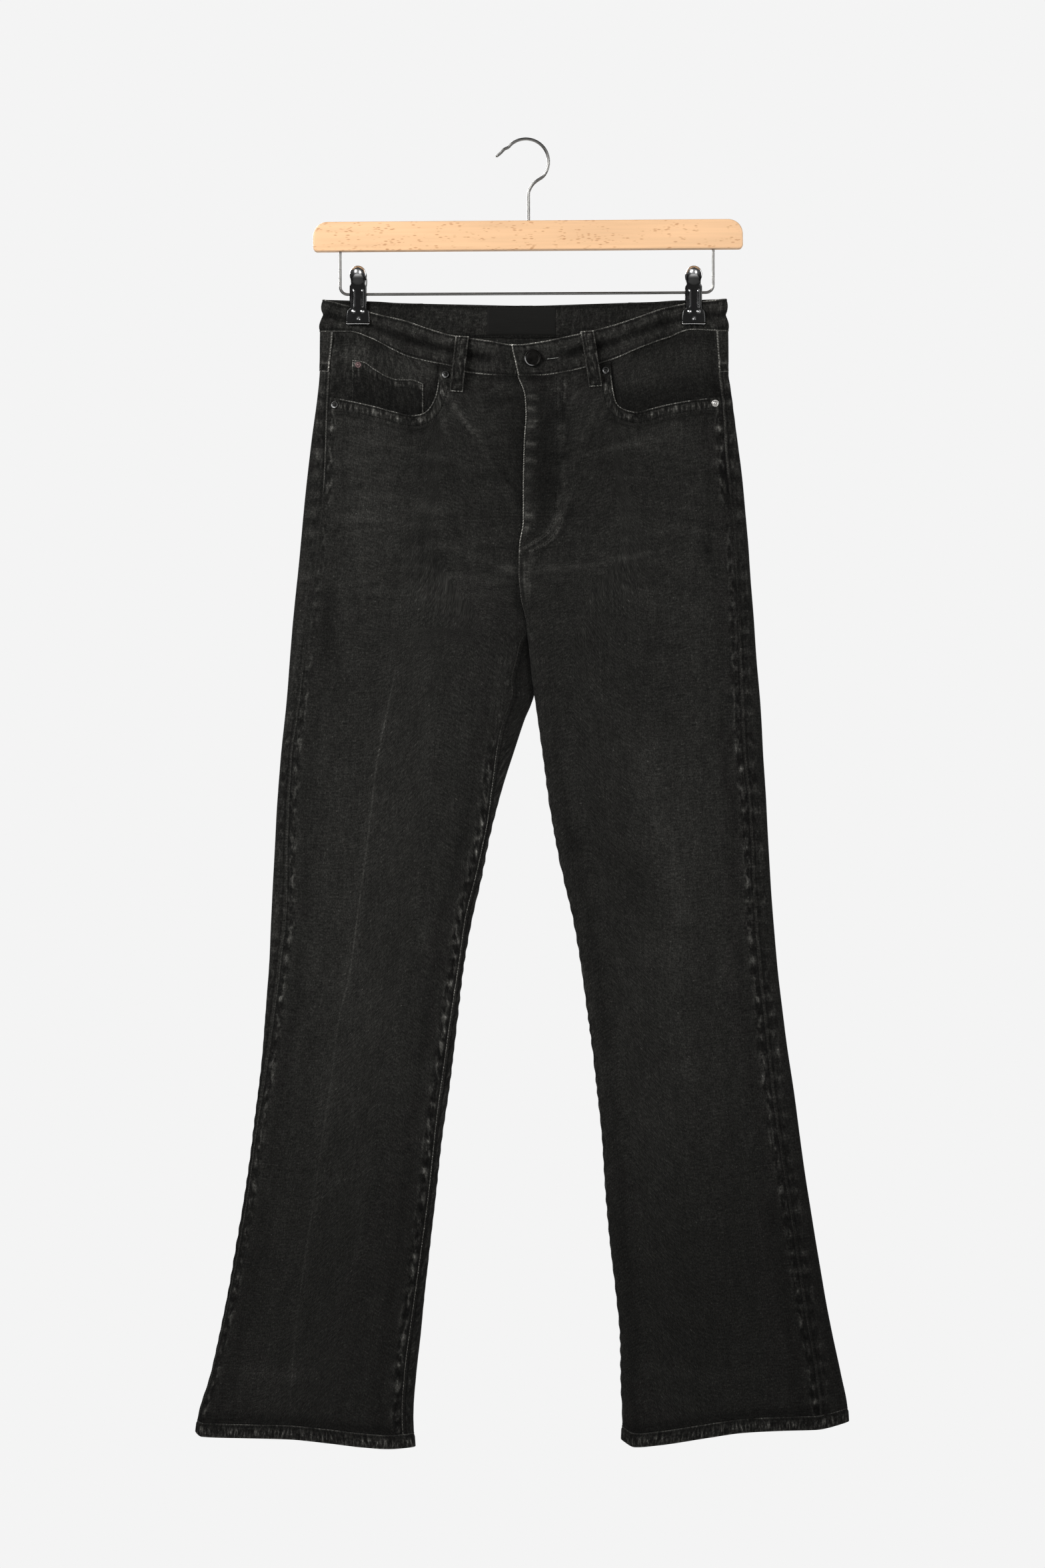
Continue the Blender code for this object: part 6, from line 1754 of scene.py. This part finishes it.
class JeansCloth(bpy.types.PropertyGroup):
    colour: colour_setting("Cloth colour", "Linear colour of the washed cloth before wear",
                           (0.0136, 0.0133, 0.0121))
    roughness: number_setting("Roughness", "How matt the cloth is", 0.92, min=0.0, max=1.0)
    twill_pitch: length_setting("Twill pitch", "Distance between two diagonals of the twill", 0.0009)
    pucker_depth: length_setting("Pucker depth", "How far the cloth puckers beside its seams", 0.0006)


class JeansStitches(bpy.types.PropertyGroup):
    pitch: length_setting("Stitch length", "From one needle hole to the next", 0.0028)
    thread: length_setting("Thread", "Diameter of the topstitching thread", 0.0006)


class JeansHanger(bpy.types.PropertyGroup):
    wood: colour_setting("Wood", "Linear colour of the bar", (0.75, 0.469, 0.264))
    fleck: colour_setting("Flecks", "Linear colour of the wood's short dark flecks", (0.42, 0.19, 0.075))


class JeansStage(bpy.types.PropertyGroup):
    floor_height: length_setting("Floor height", "Height of the floor below the hook", -2.1)
    backdrop: number_setting("Backdrop", "Linear brightness of the pale ground that the camera sees",
                             0.905, min=0.0)
    front_light: number_setting("Front light", "Power of the large light at the front left", 85.0,
                                unit="POWER")
    fill_light: number_setting("Fill light", "Power of the light at the front right", 40.0, unit="POWER")


class JEANS_OT_panels(bpy.types.Operator):
    """Make the fronts, the backs and the yokes"""

    bl_idname = "jeans.panels"
    bl_label = "Fronts, Backs and Yokes"

    def execute(self, context):
        for side in SIDES:
            for kind, make in (("front", make_front), ("back", make_back), ("yoke", make_yoke)):
                made[kind, side], obj = make(side, denim())
        return {"FINISHED"}


class JEANS_OT_waistband(bpy.types.Operator):
    """Make the waistband with its belt loops and label"""

    bl_idname = "jeans.waistband"
    bl_label = "Waistband, Loops and Label"

    def execute(self, context):
        made["waistband"], obj = make_waistband(denim())
        for name in LOOPS:
            made["loop", name], obj = make_loop(name, denim())
        make_label(black_satin())
        return {"FINISHED"}


class JEANS_OT_hems(bpy.types.Operator):
    """Make the turned hems"""

    bl_idname = "jeans.hems"
    bl_label = "Hems"

    def execute(self, context):
        for side in SIDES:
            made["hem", side], obj = make_hem(side, denim())
        return {"FINISHED"}


class JEANS_OT_pockets(bpy.types.Operator):
    """Make the pocket facings, the coin pocket and the back pockets"""

    bl_idname = "jeans.pockets"
    bl_label = "Pockets"

    def execute(self, context):
        for side in SIDES:
            for kind, make in (("facing", make_facing), ("patch", make_back_pocket)):
                made[kind, side], obj = make(side, denim())
        made["coin"], obj = make_coin_pocket(denim())
        return {"FINISHED"}


class JEANS_OT_fly(bpy.types.Operator):
    """Make the zip and the shield behind the fly"""

    bl_idname = "jeans.fly"
    bl_label = "Fly"

    def execute(self, context):
        make_zip(black_satin(), black_metal())
        shield = fly_layer(FLY_LAYERS["shield"], 60, 16)
        shield.shade -= 0.2
        shield.make("denim_shield", ["fly_shield"], denim())
        return {"FINISHED"}


def black_metal():
    return finish_named("black enamelled metal", make_metal, (0.011, 0.0105, 0.0098), 0.42, 0.35, "shine")


def run_of(line, keep):
    """The part of a line of points that a test keeps."""
    path, out = line
    chosen = keep(path)
    return path[chosen], out[chosen]


def facing_front(path):
    """A path with its outward directions to the front."""
    return path, np.broadcast_to(FRONTWARD, path.shape)


class JEANS_OT_stitching(bpy.types.Operator):
    """Sew the seams: topstitching as small bowed stitches, and bartacks"""

    bl_idname = "jeans.stitching"
    bl_label = "Stitching"

    def execute(self, context):
        for name, rows in (("waistband", self.waistband()), ("front_pockets", self.front_pockets()),
                           ("fly", self.fly()), ("back", self.back()), ("legs", self.legs()),
                           ("loops", self.loops()), ("buttonhole", self.buttonhole())):
            make_stitches("stitches_" + name, rows, thread())
        self.buttonhole_thread()
        return {"FINISHED"}

    def waistband(self):
        band = made["waistband"]
        inside = Cloth(band.inner, band.outer)
        return band.lines(top=(2.2,), low=(2.2,)) + [
            run_of(line, lambda path: path[:, 1] > 0) for line in inside.lines(top=(2.6,), low=(3,))]

    def front_pockets(self):
        rows = []
        for side in SIDES:
            for distance in (1.8, 10):
                flat = pocket_route(side, distance)
                rows.append(facing_front(on_panel(side, "front", flat[:, 0], flat[:, 1], -0.5)))
        return rows + made["coin"].lines(top=(1.8, 8), start=(1.8,), end=(1.8,))

    def fly(self):
        """The worn edge's row, the two rows of the J, and the bartack where the J begins to turn."""
        rows = [run_of(made["front", "right"].line("end", 1.6), lambda path: path[:, 2] > -405)]
        heights = np.linspace(-236, -406, 90)
        for row in ("outer", "inner"):
            path = on_panel("right", "front", FLY_STITCH(row, heights), heights)
            low = path[:, 0] > FLY_LINE("x", heights) + 1
            rows.append(facing_front(path[low] + FRONTWARD * 0.2))
        tack = on_panel("right", "front", 25.7, -353) + FRONTWARD * 0.6
        return [*rows, bartack(tack, np.array([0.0, 0.0, 1.0]), FRONTWARD, 9, 2)]

    def back(self):
        rows = []
        for side in SIDES:
            yoke = made["yoke", side]
            rows += yoke.lines(low=(1.8, 7))
            for value in (1.8, 7) if side == "left" else (1.8,):
                above = run_of(made["back", side].line("end", value), lambda path: path[:, 2] > CROTCH - 4)
                rows += [above, yoke.line("end", value)]
            for value in (1.8, 7.8):
                rows += made["patch", side].lines(start=(value,), end=(value,), low=(value,))
            rows += made["patch", side].lines(top=(2, 14))
        return rows

    def legs(self):
        rows = []
        for side in SIDES:
            back = made["back", side]
            upper, lower = SIDE_BARTACK[side], CROTCH - 6
            rows.append(run_of(back.line("start", 1.8), lambda path: path[:, 2] > upper))
            rows.append(run_of(back.line("end", 1.8), lambda path: path[:, 2] < lower))
            rows.append([np.concatenate([part, part[:1]]) for part in made["hem", side].line("top", 1.6)])
        return rows

    def loops(self):
        rows = []
        for name in LOOPS:
            loop = made["loop", name]
            rows += loop.lines(start=(2.6,), end=(2.6,))
            for path, out in loop.lines(top=(2.2,), low=(2.2,)):
                middle = len(path) // 2
                rows.append(bartack(path[middle], unit(path[-1] - path[0]), out[middle], 10.5, 2.2))
        return rows

    def buttonhole_path(self):
        """The line of the buttonhole's end beside the button."""
        xs = np.linspace(13.5, 28.4, 60)
        heights = -218.4 + (xs - 13.5) * 0.12
        return placed(*hip_point("front", xs, heights, -BAND_OUT - 0.9), heights)

    def buttonhole(self):
        """Close stitches above and below that line."""
        path, out = facing_front(self.buttonhole_path())
        return [(path[::2] + (0, 0, 0.8 * sign), out[::2]) for sign in (-1, 1)]

    def buttonhole_thread(self):
        """The bright thread in the part of it that shows."""
        path = self.buttonhole_path()
        points, faces = tube(path[path[:, 0] > 17.5] + FRONTWARD * 0.1, 0.32, -FRONTWARD, 8)
        make_piece("buttonhole_thread", points, faces, finish_named("grey thread", make_yarn), (),
                   "denim")


class JEANS_OT_metal(bpy.types.Operator):
    """Make the button and the rivets"""

    bl_idname = "jeans.metal"
    bl_label = "Button and Rivets"

    def execute(self, context):
        make_button(black_metal())
        make_rivets({
            "black": black_metal(),
            "steel": finish_named("worn steel", make_metal, (0.40, 0.39, 0.37), 0.36, 0.4),
            "copper": finish_named("worn copper", make_metal, (0.15, 0.1, 0.1), 0.5, 0.3),
        })
        return {"FINISHED"}


class JEANS_OT_hanger(bpy.types.Operator):
    """Make the beech bar, the hook and the wire below"""

    bl_idname = "jeans.hanger"
    bl_label = "Hanger"

    def execute(self, context):
        make_bar(finish_named("varnished beech", make_beech))
        make_wires(steel())
        return {"FINISHED"}


class JEANS_OT_clips(bpy.types.Operator):
    """Make the two clips and their springs"""

    bl_idname = "jeans.clips"
    bl_label = "Clips"

    def execute(self, context):
        # The clip's dark body colour stands in for chrome mirroring a dark room: a painted reflection.
        finish = finish_named("clip metal", make_metal, (0.04, 0.04, 0.04), 0.17, 0.3, "shine")
        for side in SIDES:
            for face in ("front", "back"):
                make_lever(side, face, finish)
            make_spring(side, steel())
        return {"FINISHED"}


# Lights: place, width and height, then which setting gives the power and the share of it.
LIGHTS = {
    "key light": ((-1.7, -1.9, 0.9), (1.0, 1.2), "front_light", 1),
    "fill light": ((2.0, -2.6, 0.2), (1.2, 2.2), "fill_light", 1),
    "back light": ((-1.4, 2.6, 0.9), (1.4, 1.6), "front_light", 1.4),
    "side light": ((2.6, 1.4, 0.4), (1.0, 2.0), "fill_light", 0.8),
}
LIT_PLACE = (0.0, 0.0, -0.7)
CAMERA_PLACE = (-0.0066, -4.0, -0.6369)
CAMERA_LENS = 92.8
CAMERA_SENSOR = 36.0
FLOOR_REACH = 3.1


def add_light(name, place, size, power):
    light = bpy.data.lights.new(name, "AREA")
    light.shape, light.size, light.size_y, light.energy = "RECTANGLE", *size, power
    obj = bpy.data.objects.new(name, light)
    back = np.subtract(place, LIT_PLACE)
    tilt = math.acos(back[2] / np.linalg.norm(back))
    obj.location, obj.rotation_euler = place, (tilt, 0.0, math.atan2(back[0], -back[1]))
    bpy.context.scene.collection.objects.link(obj)


class JEANS_OT_stage(bpy.types.Operator):
    """Make the floor, the lights, the pale surroundings and the camera"""

    bl_idname = "jeans.stage"
    bl_label = "Stage"

    def execute(self, context):
        scene, stage = context.scene, context.scene.jeans_stage
        mesh = bpy.data.meshes.new("floor")
        corners = [(x * FLOOR_REACH, y * FLOOR_REACH, stage.floor_height)
                   for x, y in ((-1, -1), (1, -1), (1, 1), (-1, 1))]
        mesh.from_pydata(corners, [], [(0, 1, 2, 3)])
        floor = bpy.data.objects.new("floor", mesh)
        scene.collection.objects.link(floor)
        finish = Finish("pale floor", (0.86, 0.86, 0.855), 0.9, specular_ior_level=0.1)
        mesh.materials.append(finish.material)
        for obj in [found for found in scene.objects if found.type in ("LIGHT", "CAMERA")]:
            bpy.data.objects.remove(obj, do_unlink=True)
        for name, (place, size, setting, share) in LIGHTS.items():
            add_light(name, place, size, getattr(stage, setting) * share)
        scene.world = self.surroundings(stage.backdrop)
        camera = bpy.data.objects.new("camera", bpy.data.cameras.new("camera"))
        camera.data.sensor_width, camera.data.lens = CAMERA_SENSOR, CAMERA_LENS
        camera.location, camera.rotation_euler = CAMERA_PLACE, (math.pi / 2, 0.0, 0.0)
        scene.collection.objects.link(camera)
        scene.camera = camera
        scene.view_settings.view_transform = "Standard"
        return {"FINISHED"}

    def surroundings(self, brightness):
        """A world that is plainly pale to the camera, and lights the object from before and behind."""
        world = bpy.data.worlds.new("pale room")
        world.use_nodes = True
        graph = Graph(world.node_tree)
        graph.nodes.clear()
        place = graph.add("TexCoord", output="Generated")
        ahead = graph.math("ABSOLUTE", graph.add("SeparateXYZ", {0: place}, output="Y"))
        around = graph.add("Background", {"Strength": graph.span(ahead, 0.35, 0.95, 0.05, 0.4)})
        seen = graph.add("Background", {"Color": (brightness, brightness, brightness, 1.0)})
        camera_ray = graph.add("LightPath", output="Is Camera Ray")
        out = graph.nodes.new("ShaderNodeOutputWorld")
        graph.fill(out, {0: graph.add("MixShader", {0: camera_ray, 1: around, 2: seen})})
        return world


OPERATORS = (JEANS_OT_panels, JEANS_OT_waistband, JEANS_OT_hems, JEANS_OT_pockets, JEANS_OT_fly,
             JEANS_OT_stitching, JEANS_OT_metal, JEANS_OT_hanger, JEANS_OT_clips, JEANS_OT_stage)
SETTINGS = {"jeans_cloth": JeansCloth, "jeans_stitches": JeansStitches, "jeans_hanger": JeansHanger,
            "jeans_stage": JeansStage}


class JEANS_PT_sidebar(bpy.types.Panel):
    """Lists the settings and the operators in the sidebar"""

    bl_idname = "JEANS_PT_sidebar"
    bl_label = "Jeans on a Hanger"
    bl_space_type = "VIEW_3D"
    bl_region_type = "UI"
    bl_category = "Jeans"

    def draw(self, context):
        for name, group in SETTINGS.items():
            box = self.layout.box()
            for setting in group.__annotations__:
                box.prop(getattr(context.scene, name), setting)
        for operator in OPERATORS:
            self.layout.operator(operator.bl_idname)


def register():
    for group in (*SETTINGS.values(), *OPERATORS, JEANS_PT_sidebar):
        bpy.utils.register_class(group)
    for name, group in SETTINGS.items():
        setattr(bpy.types.Scene, name, bpy.props.PointerProperty(type=group))


def unregister():
    for name in SETTINGS:
        delattr(bpy.types.Scene, name)
    for group in (JEANS_PT_sidebar, *OPERATORS[::-1], *SETTINGS.values()):
        bpy.utils.unregister_class(group)


def main():
    register()
    for operator in OPERATORS:
        getattr(bpy.ops.jeans, operator.bl_idname.split(".")[1])()


if __name__ == "__main__":
    main()
